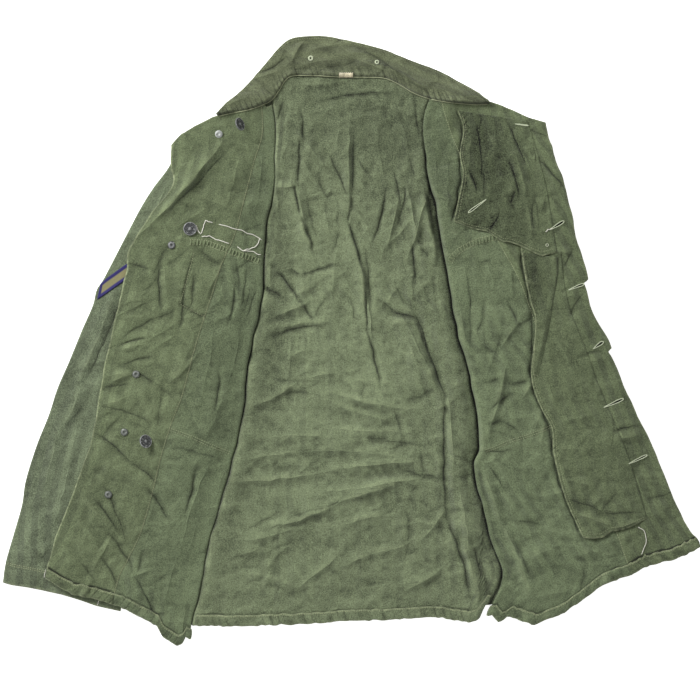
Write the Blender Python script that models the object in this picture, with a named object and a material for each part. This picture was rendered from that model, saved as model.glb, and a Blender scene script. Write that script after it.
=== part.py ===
"""Olive cotton utility jacket, laid flat on its back with both fronts opened out like a book.

The collar points to +Y and the hem to -Y; the inside of the cloth faces up (+Z).
"Right" and "left" are the wearer's, so the right front lies at -X.
Each front starts at its side seam, runs inwards over the back, turns over at the roll
and lies outwards again, inside up, on top of its sleeve.

Tables and sizes are millimetres on the flat garment; meshes are written in metres.
The pieces are laid one after another on a height map, the pile, as cloth is laid on a table.
"""
import bpy
import numpy as np
from mathutils import Vector
from mathutils.bvhtree import BVHTree

MM = 0.001                # metres in a millimetre

# Cloth and sewing
CLOTH = 1.0               # wall of one layer of cotton drill
COLLAR_CLOTH = 2.0        # collar: two layers and their turnings
SLOPED_CLOTH = 1.15       # upright depth of one layer where it slopes
SEAM_GAP = 0.35           # between a panel and a piece sewn on it
LAY_GAP = 0.5             # between two pieces that lie on each other
SLEEVE_ROOM = 1.2         # hollow of the flattened sleeve at its two long edges
SLEEVE_PUFF = 2.5         # how much more the sleeve's middle stands off
ROLL_REACH = 6.0          # how far the turn of a front reaches past its two flat layers
SLEEVE_REACH = 2.2        # the same for the two long edges of a sleeve
BUTTON_RADIUS = 8.8       # tack button's face
BUTTON_HEIGHT = 3.0
HIDDEN_FACE_HEIGHT = 1.8  # flat face of a front button under the cloth
BACK_RADIUS = 4.9         # tack button's back, the small cap seen on the facing
BACK_HEIGHT = 1.6

# The pile's map
CELL = 4.0                # side of one map cell
MAP_HALF_WIDTH = 480.0
MAP_HALF_LENGTH = 420.0
SPREAD = 44.0             # a piece already clears a step this far before reaching it
SOFTEN = 16.0             # length over which cloth eases up a step

# Grid lines across each kind of piece
ROWS_FRONT = 30
ROWS_BACK = 30
ROWS_SLEEVE = 24
ROWS_HIDDEN_SLEEVE = 14
ROWS_COLLAR = 30
TURN_STEPS = 5            # points round the roll of a front
EDGE_STEPS = 3            # points round the long edge of a sleeve


def table(columns, rows):
    """A short table as named columns of numbers."""
    values = np.array(rows, dtype=float)
    return {name: values[:, place] for place, name in enumerate(columns.split())}


# Crosswise sections of each front, from the neck to the hem. Each section starts at the
# armhole or side seam, passes the roll and the facing's stitched line and ends at the front edge.
FRONT_COLUMNS = "side_x side_y roll_x roll_y facing_x facing_y edge_x edge_y"
FRONT_RIGHT = table(FRONT_COLUMNS, [
    (-214, 254, -101, 307, -114, 302, -229, 263),
    (-221, 235, -98, 274, -113, 266, -231, 235),
    (-228, 209, -99, 235, -124, 231, -230, 203),
    (-234, 181, -101, 196, -135, 188, -260, 161),
    (-246, 138, -110, 144, -148, 139, -285, 121),
    (-255, 99, -113, 103, -166, 98, -291, 82),
    (-264, 66, -114, 66, -178, 60, -299, 47),
    (-273, 32, -120, 27, -191, 20, -309, 6),
    (-274, -12, -130, -12, -203, -20, -318, -31),
    (-274, -64, -136, -64, -216, -69, -327, -81),
    (-274, -103, -143, -103, -231, -108, -334, -124),
    (-274, -142, -150, -142, -244, -150, -348, -170),
    (-274, -191, -164, -191, -257, -203, -367, -217),
    (-274, -239, -179, -246, -270, -247, -380, -251),
    (-274, -278, -192, -304, -286, -281, -389, -278),
    (-273, -317, -204, -360, -299, -307, -393, -292),
    (-273, -337, -213, -393, -308, -341, -394, -308),
])
FRONT_LEFT = table(FRONT_COLUMNS, [
    (217, 257, 104, 315, 117, 309, 254, 283),
    (222, 238, 96, 280, 126, 277, 259, 261),
    (228, 212, 100, 235, 144, 235, 266, 238),
    (233, 188, 105, 205, 156, 205, 278, 205),
    (240, 160, 113, 170, 170, 170, 286, 170),
    (252, 118, 121, 121, 195, 122, 296, 122),
    (263, 79, 129, 79, 217, 82, 307, 86),
    (274, 40, 134, 40, 233, 40, 315, 42),
    (276, -1, 143, 1, 248, 0, 332, -1),
    (277, -48, 156, -48, 264, -47, 348, -46),
    (277, -90, 166, -90, 278, -88, 368, -87),
    (277, -134, 168, -135, 295, -134, 390, -134),
    (277, -170, 162, -165, 308, -170, 408, -174),
    (277, -211, 170, -207, 325, -211, 425, -217),
    (276, -252, 182, -252, 344, -247, 442, -246),
    (273, -298, 198, -300, 355, -276, 451, -255),
    (270, -332, 191, -352, 365, -300, 454, -266),
])
# How far the top and the hem of a front stand out from the straight line between its table
# points; "along" runs from 0 at the roll over 1 at the facing line to 2 at the front edge.
EDGE_COLUMNS = "along top hem"
RIGHT_EDGES = table(EDGE_COLUMNS, [
    (0.00, 0, -3), (0.15, 0, -12), (0.32, 1, -12), (0.40, 2, 0), (0.70, 4, 1),
    (1.00, 6, 0), (1.30, 10, -3), (1.55, 10, -7), (1.75, 6, -6), (2.00, 0, 0),
])
LEFT_EDGES = table(EDGE_COLUMNS, [
    (0.00, 4, 0), (0.12, 4, 1), (0.30, 4, -19), (0.42, 4, -26), (0.58, 4, -19),
    (0.72, 4, -5), (1.00, 5, -3), (1.40, 5, -2), (1.70, 3, -3), (2.00, 0, 0),
])
EDGE_FADE = 0.16          # share of the length over which those two die out

# The back: its top edge over shoulders and neck, its hem, its armholes and side seams
BACK_TOP = table("x y", [
    (-218, 257), (-161, 287), (-114, 309), (-104, 317), (-95, 329), (-87, 341), (-75, 346),
    (0, 344), (46, 343), (65, 337), (84, 325), (107, 316), (162, 290), (221, 260),
])
BACK_HEM = table("x y", [
    (-278, -339), (-240, -352), (-203, -369), (-130, -370), (-114, -365), (-65, -365),
    (0, -360), (65, -359), (117, -359), (153, -364), (168, -355), (172, -342), (195, -341),
    (234, -341), (281, -332),
])
BACK_SIDES = table("y right_x left_x", [
    (-340, -278, 280), (-207, -280, 281), (-77, -278, 281), (38, -276, 278), (86, -260, 263),
    (144, -247, 247), (203, -231, 231), (260, -218, 221),
])

# Crosswise sections of the sleeves, from the armhole to the cuff
SLEEVE_COLUMNS = "outer_x outer_y inner_x inner_y"
SLEEVE_RIGHT = table(SLEEVE_COLUMNS, [
    (-221, 254, -146, 108), (-231, 226, -146, 95), (-251, 199, -148, 79), (-269, 170, -153, 62),
    (-292, 126, -161, 43), (-316, 82, -173, 25), (-328, 66, -180, 10), (-333, 46, -190, -8),
    (-348, 14, -208, -39),
    (-364, -25, -225, -77), (-380, -62, -243, -114), (-391, -96, -256, -148),
    (-407, -136, -270, -187), (-421, -181, -281, -230), (-426, -213, -286, -259),
    (-437, -252, -291, -292), (-447, -287, -295, -324), (-451, -313, -298, -350),
])
SLEEVE_LEFT = table(SLEEVE_COLUMNS, [
    (224, 254, 148, 108), (255, 196, 159, 73), (277, 118, 172, 30), (295, 40, 187, -14),
    (328, -44, 205, -77), (368, -135, 229, -157), (396, -207, 250, -235), (412, -262, 276, -311),
])
# The stripe sewn round the right sleeve, lower and upper edge
SLEEVE_STRIPE = table("low_x low_y high_x high_y", [
    (-324, 53, -321, 67), (-316, 60, -316, 74), (-304, 69, -306, 84), (-286, 82, -289, 100),
    (-269, 92, -273, 110),
])

# The collar from its right end to its left end: stitched neck edge and free edge
COLLAR = table("seam_x seam_y edge_x edge_y", [
    (-170, 291, -177, 299), (-153, 295, -161, 308), (-131, 299, -146, 320),
    (-112, 306, -134, 332), (-100, 313, -122, 346), (-91, 325, -109, 361),
    (-83, 338, -94, 379), (-73, 343, -78, 392), (-53, 343, -57, 396), (-31, 342, -32, 396),
    (-6, 341, -6, 389), (20, 341, 21, 384), (44, 340, 46, 374), (62, 333, 65, 365),
    (82, 321, 91, 356), (104, 313, 117, 347), (126, 309, 140, 335), (150, 307, 161, 325),
    (178, 307, 179, 316),
])
# The flap inside the left front: its free inner edge and its sewn outer edge
FLAP_COLUMNS = "free_x free_y sewn_x sewn_y"
GAS_FLAP_UPPER = table(FLAP_COLUMNS, [
    (140, 298, 230, 285), (147, 274, 238, 261), (142, 242, 247, 229), (146, 216, 255, 196),
    (140, 183, 261, 160), (134, 155, 268, 114),
])
GAS_FLAP_LOWER = table(FLAP_COLUMNS, [
    (221, 122, 273, 117), (226, 86, 277, 79), (233, 53, 283, 47), (240, 25, 292, 21),
    (237, -12, 306, -12), (235, -51, 320, -51), (247, -86, 335, -87), (261, -113, 347, -116),
    (263, -142, 359, -144), (270, -174, 369, -174), (281, -209, 378, -204), (302, -255, 385, -230),
])
GAS_FLAP_TURNBACK = table(FLAP_COLUMNS, [
    (222, 114, 269, 108), (226, 86, 269, 86), (233, 53, 263, 53), (240, 27, 259, 26),
    (238, -12, 251, -12), (237, -44, 243, -46),
])
NECK_LABEL = table("x y", [(-14, 350), (4, 350), (4, 343.5), (-14, 343.5)])

# Largest folds: a rounded ridge of cloth from one point to another
FOLD_COLUMNS = "from_x from_y to_x to_y width height"
BACK_FOLDS = table(FOLD_COLUMNS, [
    (-65, 298, -61, 212, 12, 2.5), (-83, 202, -47, 110, 11, 3), (3, 300, 3, 142, 13, 3),
    (21, 118, 29, -5, 13, 3.5), (55, 229, 81, 118, 12, 4), (109, 183, 75, 53, 12, 4),
    (47, 53, 117, -66, 13, 4.5), (-99, 30, -44, 51, 12, 3), (-65, -74, 98, -61, 12, 3),
    (-84, -118, 107, -108, 12, 3.5), (-65, -162, 112, -150, 12, 3), (-91, -242, 68, -186, 16, 5),
    (-26, -300, 117, -269, 13, 3), (135, -70, 136, -174, 13, 7), (138, -181, 156, -326, 13, 7),
    (-162, -285, -65, -317, 13, 2.5), (-39, 318, 46, 315, 11, 2.5),
])
FRONT_RIGHT_FOLDS = table(FOLD_COLUMNS, [
    (-166, 257, -280, 131, 13, 6), (-200, 108, -218, 49, 12, 3), (-114, 53, -150, -103, 13, 3),
    (-208, 8, -234, -109, 13, 3), (-254, 30, -292, 5, 11, 2.5), (-335, -125, -260, -196, 13, 3.5),
    (-153, -148, -188, -285, 16, 4), (-188, -285, -224, -378, 14, 5),
    (-233, -116, -156, -148, 11, 2.5), (-299, -207, -351, -285, 13, 2.5),
    (-316, -46, -260, -70, 12, 2),
])
FRONT_LEFT_FOLDS = table(FOLD_COLUMNS, [
    (156, 92, 172, -44, 13, 4), (199, 30, 182, -109, 13, 4), (174, -77, 202, -233, 14, 5),
    (202, -233, 231, -326, 16, 6), (312, -130, 380, -108, 11, 3), (292, -162, 359, -151, 11, 3),
    (273, -22, 328, -13, 11, 2.5), (195, -324, 273, -285, 13, 3), (273, -207, 377, -220, 13, 3),
    (117, 248, 133, 138, 12, 3),
])
FLAP_FOLDS = table(FOLD_COLUMNS, [
    (195, 274, 231, 183, 12, 4), (156, 281, 182, 190, 12, 3), (247, 248, 268, 164, 12, 3),
    (195, 177, 214, 131, 11, 2.5), (262, -178, 372, -212, 12, 4), (240, 60, 262, -20, 11, 2),
])
SLEEVE_FOLDS = table(FOLD_COLUMNS, [
    (-289, 103, -338, -5, 14, 4), (-302, 40, -351, -70, 13, 4), (-332, 66, -377, -77, 13, 3),
    (-367, -77, -400, -207, 14, 4), (-325, -116, -377, -265, 13, 3),
    (-416, -220, -434, -298, 12, 3), (-344, -259, -377, -326, 12, 3),
])
COLLAR_FOLDS = table(FOLD_COLUMNS, [
    (-70, 388, -76, 360, 8, 2), (-112, 340, -92, 358, 8, 2.5), (-130, 322, -110, 316, 8, 2),
    (88, 350, 108, 322, 9, 2), (20, 375, 44, 346, 9, 1.5),
])

# Tack buttons: backs along the right front edge, and faces on the inside of the facing
FRONT_BUTTONS = table("x y", [(-170, 268), (-231, 124), (-277, -43), (-292, -118), (-313, -199)])
INSIDE_BUTTONS = table("x y lean", [(-144, 280, 50), (-207, 145, 6), (-265, -130, 22)])

# Which grid lines of a front its facing, pocket and pocket flap are made from
UPPER_STEPS = 5           # grid steps from roll to facing, and again from facing to edge
LOWER_STEPS = 3           # grid steps from side seam to roll
POCKET_ROWS = (8, 18)
POCKET_FLAP_ROWS = (8, 12)
POCKET_PAST_FACING = 1

CLOTH_OLIVE = dict(color=(0.135, 0.165, 0.090), roughness=0.92, metallic=0.0)
COLLAR_OLIVE = dict(color=(0.150, 0.172, 0.100), roughness=0.92, metallic=0.0)
FLAP_OLIVE = dict(color=(0.092, 0.112, 0.066), roughness=0.94, metallic=0.0)
FACING_OLIVE = dict(color=(0.112, 0.135, 0.078), roughness=0.92, metallic=0.0)
STRIPE_KHAKI = dict(color=(0.230, 0.190, 0.100), roughness=0.90, metallic=0.0)
LABEL_CREAM = dict(color=(0.620, 0.560, 0.400), roughness=0.85, metallic=0.0)
DARK_METAL = dict(color=(0.060, 0.070, 0.085), roughness=0.42, metallic=0.85)
PALE_METAL = dict(color=(0.330, 0.330, 0.300), roughness=0.45, metallic=0.80)


# ---------------------------------------------------------------- shapes in the plane

def column(rows, name):
    """The x and y columns of one named edge, as points."""
    return np.stack([rows[name + "_x"], rows[name + "_y"]], axis=-1)


def resample(points, count):
    """A smooth curve through the points (Catmull-Rom), read at `count` even steps."""
    padded = np.concatenate([2 * points[:1] - points[1:2], points, 2 * points[-1:] - points[-2:-1]])
    place = np.linspace(0, len(points) - 1, count)
    start = np.minimum(place.astype(int), len(points) - 2)
    t = (place - start)[:, None]
    a, b, c, d = (padded[start + step] for step in range(4))
    return 0.5 * (2 * b + (c - a) * t + (2 * a - 5 * b + 4 * c - d) * t ** 2
                  + (3 * b - a - 3 * c + d) * t ** 3)


def unit(vectors):
    """Vectors of length one."""
    return vectors / np.linalg.norm(vectors, axis=-1, keepdims=True)


def across(first, last, shares):
    """Points at the given shares of the way from one edge to the other, for each row."""
    shares = np.asarray(shares)[None, :, None]
    return first[:, None] * (1 - shares) + last[:, None] * shares


def smooth_step(value):
    """Eases from 0 to 1."""
    value = np.clip(value, 0, 1)
    return value * value * (3 - 2 * value)


def folds(ridges, x, y):
    """Height of all ridges of a table at the points x, y.

    A ridge has a bell-shaped section and dies out at both ends.
    """
    height = np.zeros_like(x)
    for row in zip(*ridges.values()):
        from_x, from_y, to_x, to_y, width, top = row
        run = np.array([to_x - from_x, to_y - from_y])
        along = ((x - from_x) * run[0] + (y - from_y) * run[1]) / (run @ run)
        near = np.clip(along, 0, 1)
        apart = np.hypot(x - from_x - near * run[0], y - from_y - near * run[1])
        swell = 0.35 + 0.65 * np.sin(np.pi * near) ** 0.7
        height = np.maximum(height, top * swell * np.exp(-(apart / width) ** 2))
    return height


# ---------------------------------------------------------------- the pile

class Pile:
    """A map of how high the cloth laid so far reaches."""

    def __init__(self):
        self.x = np.arange(-MAP_HALF_WIDTH, MAP_HALF_WIDTH + CELL, CELL)
        self.y = np.arange(-MAP_HALF_LENGTH, MAP_HALF_LENGTH + CELL, CELL)
        self.grid_x, self.grid_y = np.meshgrid(self.x, self.y)
        self.top = np.zeros_like(self.grid_x)

    def inside(self, outline):
        """The cells inside a closed outline, by the even-odd rule."""
        inside = np.zeros(self.top.shape, dtype=bool)
        for (x1, y1), (x2, y2) in zip(outline, np.roll(outline, -1, axis=0)):
            if y1 == y2:
                continue
            crosses = (self.grid_y > min(y1, y2)) & (self.grid_y <= max(y1, y2))
            inside ^= crosses & (self.grid_x < x1 + (self.grid_y - y1) * (x2 - x1) / (y2 - y1))
        return inside

    def bed(self, spread=SPREAD, soften=SOFTEN):
        """Where the next piece comes to lie: the highest cloth around, eased over each step."""
        height = np.where(self.top > 0, self.top + LAY_GAP, 0)
        for _ in range(round(spread / CELL)):
            height = self._neighbours(height, np.maximum)
        for _ in range(round(soften / CELL)):
            height = self._neighbours(height, lambda a, b: (a + b) / 2)
        return height

    @staticmethod
    def _neighbours(height, combine):
        """Combines each cell with the next ones along x and then along y."""
        for axis in (0, 1):
            ahead = np.roll(height, 1, axis)
            behind = np.roll(height, -1, axis)
            height = combine(height, combine(ahead, behind))
        return height

    def read(self, heights, points):
        """A map's value at each point, between its four nearest cells."""
        u = np.clip((points[..., 0] - self.x[0]) / CELL, 0, len(self.x) - 1.001)
        v = np.clip((points[..., 1] - self.y[0]) / CELL, 0, len(self.y) - 1.001)
        i, j = u.astype(int), v.astype(int)
        s, t = u - i, v - j
        return ((heights[j, i] * (1 - s) + heights[j, i + 1] * s) * (1 - t)
                + (heights[j + 1, i] * (1 - s) + heights[j + 1, i + 1] * s) * t)

    def add(self, plan, heights):
        """Raises the map to `heights` inside the rim of a plan grid."""
        rim = np.concatenate([plan[0], plan[1:, -1], plan[-1, -2::-1], plan[-2:0:-1, 0]])
        self.top = np.where(self.inside(rim), np.maximum(self.top, heights), self.top)

    def add_disc(self, x, y, radius, thickness):
        """Raises the map by a disc's thickness round a point."""
        near = np.hypot(self.grid_x - x, self.grid_y - y) < radius
        self.top = np.where(near, self.top + thickness, self.top)


# ---------------------------------------------------------------- solids

def finish(name, look):
    """A plain Principled material."""
    material = bpy.data.materials.new(name)
    material.use_nodes = True
    shader = material.node_tree.nodes["Principled BSDF"]
    shader.inputs["Base Color"].default_value = (*look["color"], 1)
    shader.inputs["Roughness"].default_value = look["roughness"]
    shader.inputs["Metallic"].default_value = look["metallic"]
    material.diffuse_color = (*look["color"], 1)
    return material


def add_solid(name, points, faces, look):
    """One named object from points in millimetres, its faces turned outwards."""
    points = np.asarray(points, dtype=float) * MM
    faces = np.asarray(faces, dtype=int)
    a, b, c = (points[faces[:, corner]] for corner in range(3))
    if np.einsum("ij,ij->", a, np.cross(b, c)) < 0:
        faces = faces[:, ::-1]
    mesh = bpy.data.meshes.new(name)
    mesh.from_pydata(points.tolist(), [], faces.tolist())
    mesh.shade_smooth()
    mesh.set_sharp_from_angle(angle=0.9)
    mesh.materials.append(finish(name + "_finish", look))
    solid = bpy.data.objects.new(name, mesh)
    bpy.context.scene.collection.objects.link(solid)
    return solid


def patch_faces(rows, columns, closed, first=0):
    """Triangles of a grid of points, all cut along the same diagonal."""
    index = first + np.arange(rows * columns).reshape(rows, columns)
    if closed:
        index = np.concatenate([index, index[:, :1]], axis=1)
    a, b, c, d = index[:-1, :-1], index[:-1, 1:], index[1:, 1:], index[1:, :-1]
    return np.concatenate([np.stack([a, b, c], -1).reshape(-1, 3),
                           np.stack([a, c, d], -1).reshape(-1, 3)])


def rim_faces(loop, other, closed=True):
    """Triangles between two matching lines of point numbers."""
    if closed:
        loop, other = np.append(loop, loop[0]), np.append(other, other[0])
    return np.concatenate([np.stack([loop[:-1], other[:-1], other[1:]], -1),
                           np.stack([loop[:-1], other[1:], loop[1:]], -1)])


def grid_normals(middle, closed):
    """Normals of a grid surface, from its slopes along both grid directions."""
    wide = np.concatenate([middle[:, -1:], middle, middle[:, :1]], axis=1) if closed else middle
    along_row = np.gradient(wide, axis=1)
    along_row = along_row[:, 1:-1] if closed else along_row
    return unit(np.cross(along_row, np.gradient(middle, axis=0)))


def moved_out(middle, normals, distance):
    """A grid moved along its normals."""
    return middle + normals * distance


def wall(name, middle, look, thickness=CLOTH, closed=False, normals=None):
    """A cloth wall: the middle grid moved half its thickness to both sides, and rimmed."""
    rows, columns = middle.shape[:2]
    normals = grid_normals(middle, closed) if normals is None else normals
    outer = moved_out(middle, normals, thickness / 2).reshape(-1, 3)
    inner = moved_out(middle, normals, -thickness / 2).reshape(-1, 3)
    count = rows * columns
    index = np.arange(count).reshape(rows, columns)
    skin = patch_faces(rows, columns, closed)
    if closed:
        rims = [rim_faces(index[0], index[0] + count), rim_faces(index[-1] + count, index[-1])]
    else:
        loop = np.concatenate([index[0], index[1:, -1], index[-1, -2::-1], index[-2:0:-1, 0]])
        rims = [rim_faces(loop, loop + count)]
    faces = np.concatenate([skin, skin[:, ::-1] + count] + rims)
    return add_solid(name, np.concatenate([outer, inner]), faces, look)


def with_height(plan, height):
    """Plan points and their heights as one grid of points."""
    return np.concatenate([plan, height[..., None]], axis=-1)


def turn(low, high, outward, reach, low_height, high_height, steps):
    """Half a turn of cloth from the end of a lower layer up to the start of an upper one.

    Round a half circle, the plan point moves outwards by the sine of the angle, and both
    the plan and the height pass from low to high as (1 - cosine) / 2.
    """
    angle = np.linspace(0, np.pi, steps + 2)[1:-1]
    share = (1 - np.cos(angle))[None, :, None] / 2
    plan = low[:, None] * (1 - share) + high[:, None] * share
    plan = plan + outward[:, None] * reach * np.sin(angle)[None, :, None]
    height = low_height[:, None] * (1 - share[..., 0]) + high_height[:, None] * share[..., 0]
    return with_height(plan, height)


def turned(name, profile, sides, centre, look, lean=0.0, lean_towards=(1.0, 0.0)):
    """A round piece from a profile of (radius, height) points, from its underside to its top.

    It stands on `centre` and leans by an angle in degrees.
    """
    angle = np.linspace(0, 2 * np.pi, sides, endpoint=False)
    profile = np.array(profile, dtype=float)
    ring = np.stack([np.cos(angle), np.sin(angle)], -1)
    rings = [np.concatenate([ring * radius, np.full((sides, 1), height)], -1)
             for radius, height in profile]
    ends = np.array([[0, 0, profile[0, 1]], [0, 0, profile[-1, 1]]])
    points = np.concatenate(rings + [ends])
    count = len(profile) * sides
    last = count - sides
    around = np.arange(sides)
    following = np.roll(around, -1)
    caps = np.concatenate([
        np.stack([np.full(sides, count), following, around], -1),
        np.stack([np.full(sides, count + 1), last + around, last + following], -1)])
    faces = np.concatenate([patch_faces(len(profile), sides, True), caps])
    tilt, (to_x, to_y) = np.radians(lean), unit(np.array(lean_towards))
    forward = points[:, 0] * to_x + points[:, 1] * to_y
    sideways = -points[:, 0] * to_y + points[:, 1] * to_x
    tipped = forward * np.cos(tilt) + points[:, 2] * np.sin(tilt)
    height = -forward * np.sin(tilt) + points[:, 2] * np.cos(tilt)
    placed = np.stack([tipped * to_x - sideways * to_y, tipped * to_y + sideways * to_x, height], -1)
    placed[:, 2] -= placed[:, 2].min()
    return add_solid(name, placed + np.array(centre), faces, look)


def height_on(solid, points):
    """Height of a solid's upper surface at each plan point, met by a line from above."""
    mesh = solid.data
    surface = BVHTree.FromPolygons([vertex.co for vertex in mesh.vertices],
                                   [tuple(face.vertices) for face in mesh.polygons])
    heights = []
    for x, y in np.asarray(points).reshape(-1, 2):
        hit = surface.ray_cast(Vector((x * MM, y * MM, 1.0)), Vector((0, 0, -1.0)))[0]
        heights.append(np.nan if hit is None else hit.z / MM)
    return np.array(heights).reshape(np.shape(points)[:-1])


def disc_points(x, y, radius):
    """A centre and two rings of eight points around it."""
    angle = np.arange(8) * np.pi / 4
    ring = np.stack([np.cos(angle), np.sin(angle)], -1)
    return np.array([x, y]) + np.concatenate([[[0, 0]], ring * radius, ring * radius / 2])


# ---------------------------------------------------------------- the pieces

def front_edges(plan, along, edges, fade):
    """Bends a front's top and hem out of the straight by its edge table."""
    share = np.linspace(0, 1, len(plan))[:, None]
    top = np.interp(along, edges["along"], edges["top"])[None]
    hem = np.interp(along, edges["along"], edges["hem"])[None]
    plan[..., 1] += top * smooth_step(1 - share / fade) + hem * smooth_step(1 - (1 - share) / fade)
    return plan


class Front:
    """One front: the lower layer over the back, the roll, and the upper layer, inside up."""

    def __init__(self, side, rows, edges, ridges):
        self.side = side
        self.ridges = ridges
        self.seam, self.roll, self.facing, self.edge = (
            resample(column(rows, name), ROWS_FRONT) for name in ("side", "roll", "facing", "edge"))
        self.outward = unit(2 * self.roll - self.seam - self.facing)
        centre = self.roll - self.outward * ROLL_REACH
        self.lower_plan = across(self.seam, centre, np.linspace(0, 1, LOWER_STEPS + 1))
        steps = np.linspace(0, 1, UPPER_STEPS + 1)
        upper = np.concatenate([across(centre, self.facing, steps),
                                across(self.facing, self.edge, steps)[:, 1:]], axis=1)
        along = np.concatenate([steps, 1 + steps[1:]])
        self.upper_plan = front_edges(upper, along, edges, EDGE_FADE)
        hem = np.interp(0, edges["along"], edges["hem"])
        self.lower_plan[..., 1] += hem * np.linspace(0, 1, LOWER_STEPS + 1)[None] * smooth_step(
            1 - (1 - np.linspace(0, 1, ROWS_FRONT)[:, None]) / EDGE_FADE)

    def lay_lower(self, pile):
        """Lays the lower layer on the back, and the part of the pocket that turns over with it."""
        bed = pile.bed(spread=20, soften=8)
        self.lower_height = pile.read(bed, self.lower_plan) + CLOTH / 2
        pile.add(self.lower_plan, bed + CLOTH)
        first, last = POCKET_ROWS
        pocket = self.lower_plan[first - 1:last + 2, LOWER_STEPS - 1:]
        pile.add(pocket, bed + 2 * CLOTH + SEAM_GAP)

    def lay_upper(self, pile):
        """Lays the upper layer over everything between, and leaves room for what hangs below it."""
        first, last = POCKET_ROWS
        flap_first, flap_last = POCKET_FLAP_ROWS
        width = UPPER_STEPS + POCKET_PAST_FACING + 1
        pocket = self.upper_plan[first - 1:last + 2, :width + 1]
        flap = self.upper_plan[flap_first - 1:flap_last + 2, :width + 1]
        pile.add(pocket, pile.bed(20, 8) + CLOTH + SEAM_GAP)
        pile.add(flap, pile.top + CLOTH + SEAM_GAP)
        bed = pile.bed()
        x, y = self.upper_plan[..., 0], self.upper_plan[..., 1]
        self.upper_height = pile.read(bed, self.upper_plan) + CLOTH / 2 + folds(self.ridges, x, y)
        ridge_map = folds(self.ridges, pile.grid_x, pile.grid_y)
        pile.add(self.upper_plan, bed + CLOTH + ridge_map)
        facing = self.upper_plan[:, UPPER_STEPS:]
        pile.add(facing, bed + 2 * CLOTH + SEAM_GAP + ridge_map)

    def build(self):
        """Makes the front, its facing and its chest pocket as solids."""
        lower = with_height(self.lower_plan, self.lower_height)
        upper = with_height(self.upper_plan, self.upper_height)
        roll = turn(self.lower_plan[:, -1], self.upper_plan[:, 0], self.outward, ROLL_REACH,
                    self.lower_height[:, -1], self.upper_height[:, 0], TURN_STEPS)
        middle = np.concatenate([lower, roll, upper], axis=1)
        normals = grid_normals(middle, False)
        if normals[len(normals) // 2, -1, 2] < 0:
            normals = -normals
        self.solid = wall("front_" + self.side, middle, CLOTH_OLIVE, normals=normals)
        step = CLOTH + SEAM_GAP
        start = LOWER_STEPS + 1 + TURN_STEPS + UPPER_STEPS
        facing = moved_out(middle[:, start:], normals[:, start:], step)
        self.facing_solid = wall("facing_" + self.side, facing, FACING_OLIVE,
                                 normals=normals[:, start:])
        self._pocket("pocket_", middle, normals, POCKET_ROWS, LOWER_STEPS - 1, start, -step)
        self._pocket("pocket_flap_", middle, normals, POCKET_FLAP_ROWS,
                     LOWER_STEPS + 2 + TURN_STEPS, start, -2 * step)

    def _pocket(self, name, middle, normals, rows, first_column, facing_column, distance):
        """A piece sewn on the outer face of the front, made from the front's own points."""
        area = (slice(rows[0], rows[1] + 1), slice(first_column, facing_column + POCKET_PAST_FACING + 1))
        wall(name + self.side, moved_out(middle[area], normals[area], distance), CLOTH_OLIVE,
             normals=normals[area])


class Back:
    """The back: one flat panel, with the folds of its visible middle."""

    hidden_steps = 3
    shown_steps = 15

    def lay(self, pile, right, left):
        """Works out the back's grid between the rolls of the two fronts and lays it."""
        hidden = np.linspace(0, 1, self.hidden_steps + 1)
        shown = np.linspace(0, 1, self.shown_steps + 1)[1:-1]
        along = np.linspace(0, 1, ROWS_BACK)[:, None]
        columns = 2 * (self.hidden_steps + 1) + len(shown)
        y = np.repeat(340 - 700 * along, columns, axis=1)
        for _ in range(6):
            roll_right = self._line(right.roll, y)
            roll_left = self._line(left.roll, y)
            side_right = np.interp(y, BACK_SIDES["y"], BACK_SIDES["right_x"])
            side_left = np.interp(y, BACK_SIDES["y"], BACK_SIDES["left_x"])
            share = np.concatenate([hidden, shown, hidden])[None]
            part = np.array([0] * len(hidden) + [1] * len(shown) + [2] * len(hidden))[None]
            x = np.where(part == 0, side_right * (1 - share) + roll_right * share,
                         np.where(part == 1, roll_right * (1 - share) + roll_left * share,
                                  roll_left * (1 - share) + side_left * share))
            top = np.interp(x, BACK_TOP["x"], BACK_TOP["y"])
            hem = np.interp(x, BACK_HEM["x"], BACK_HEM["y"])
            y = top * (1 - along) + hem * along
        self.plan = np.stack([x, y], -1)
        clear = np.minimum(x - roll_right, roll_left - x)
        self.height = CLOTH / 2 + folds(BACK_FOLDS, x, y) * smooth_step(clear / 16)
        pile.add(self.plan, np.full(pile.top.shape, CLOTH))

    @staticmethod
    def _line(roll, y):
        """The x of a roll line at the heights y up the garment."""
        order = np.argsort(roll[:, 1])
        return np.interp(y, roll[order, 1], roll[order, 0])

    def build(self):
        """Makes the back as a solid."""
        self.solid = wall("back", with_height(self.plan, self.height), CLOTH_OLIVE)


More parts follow.
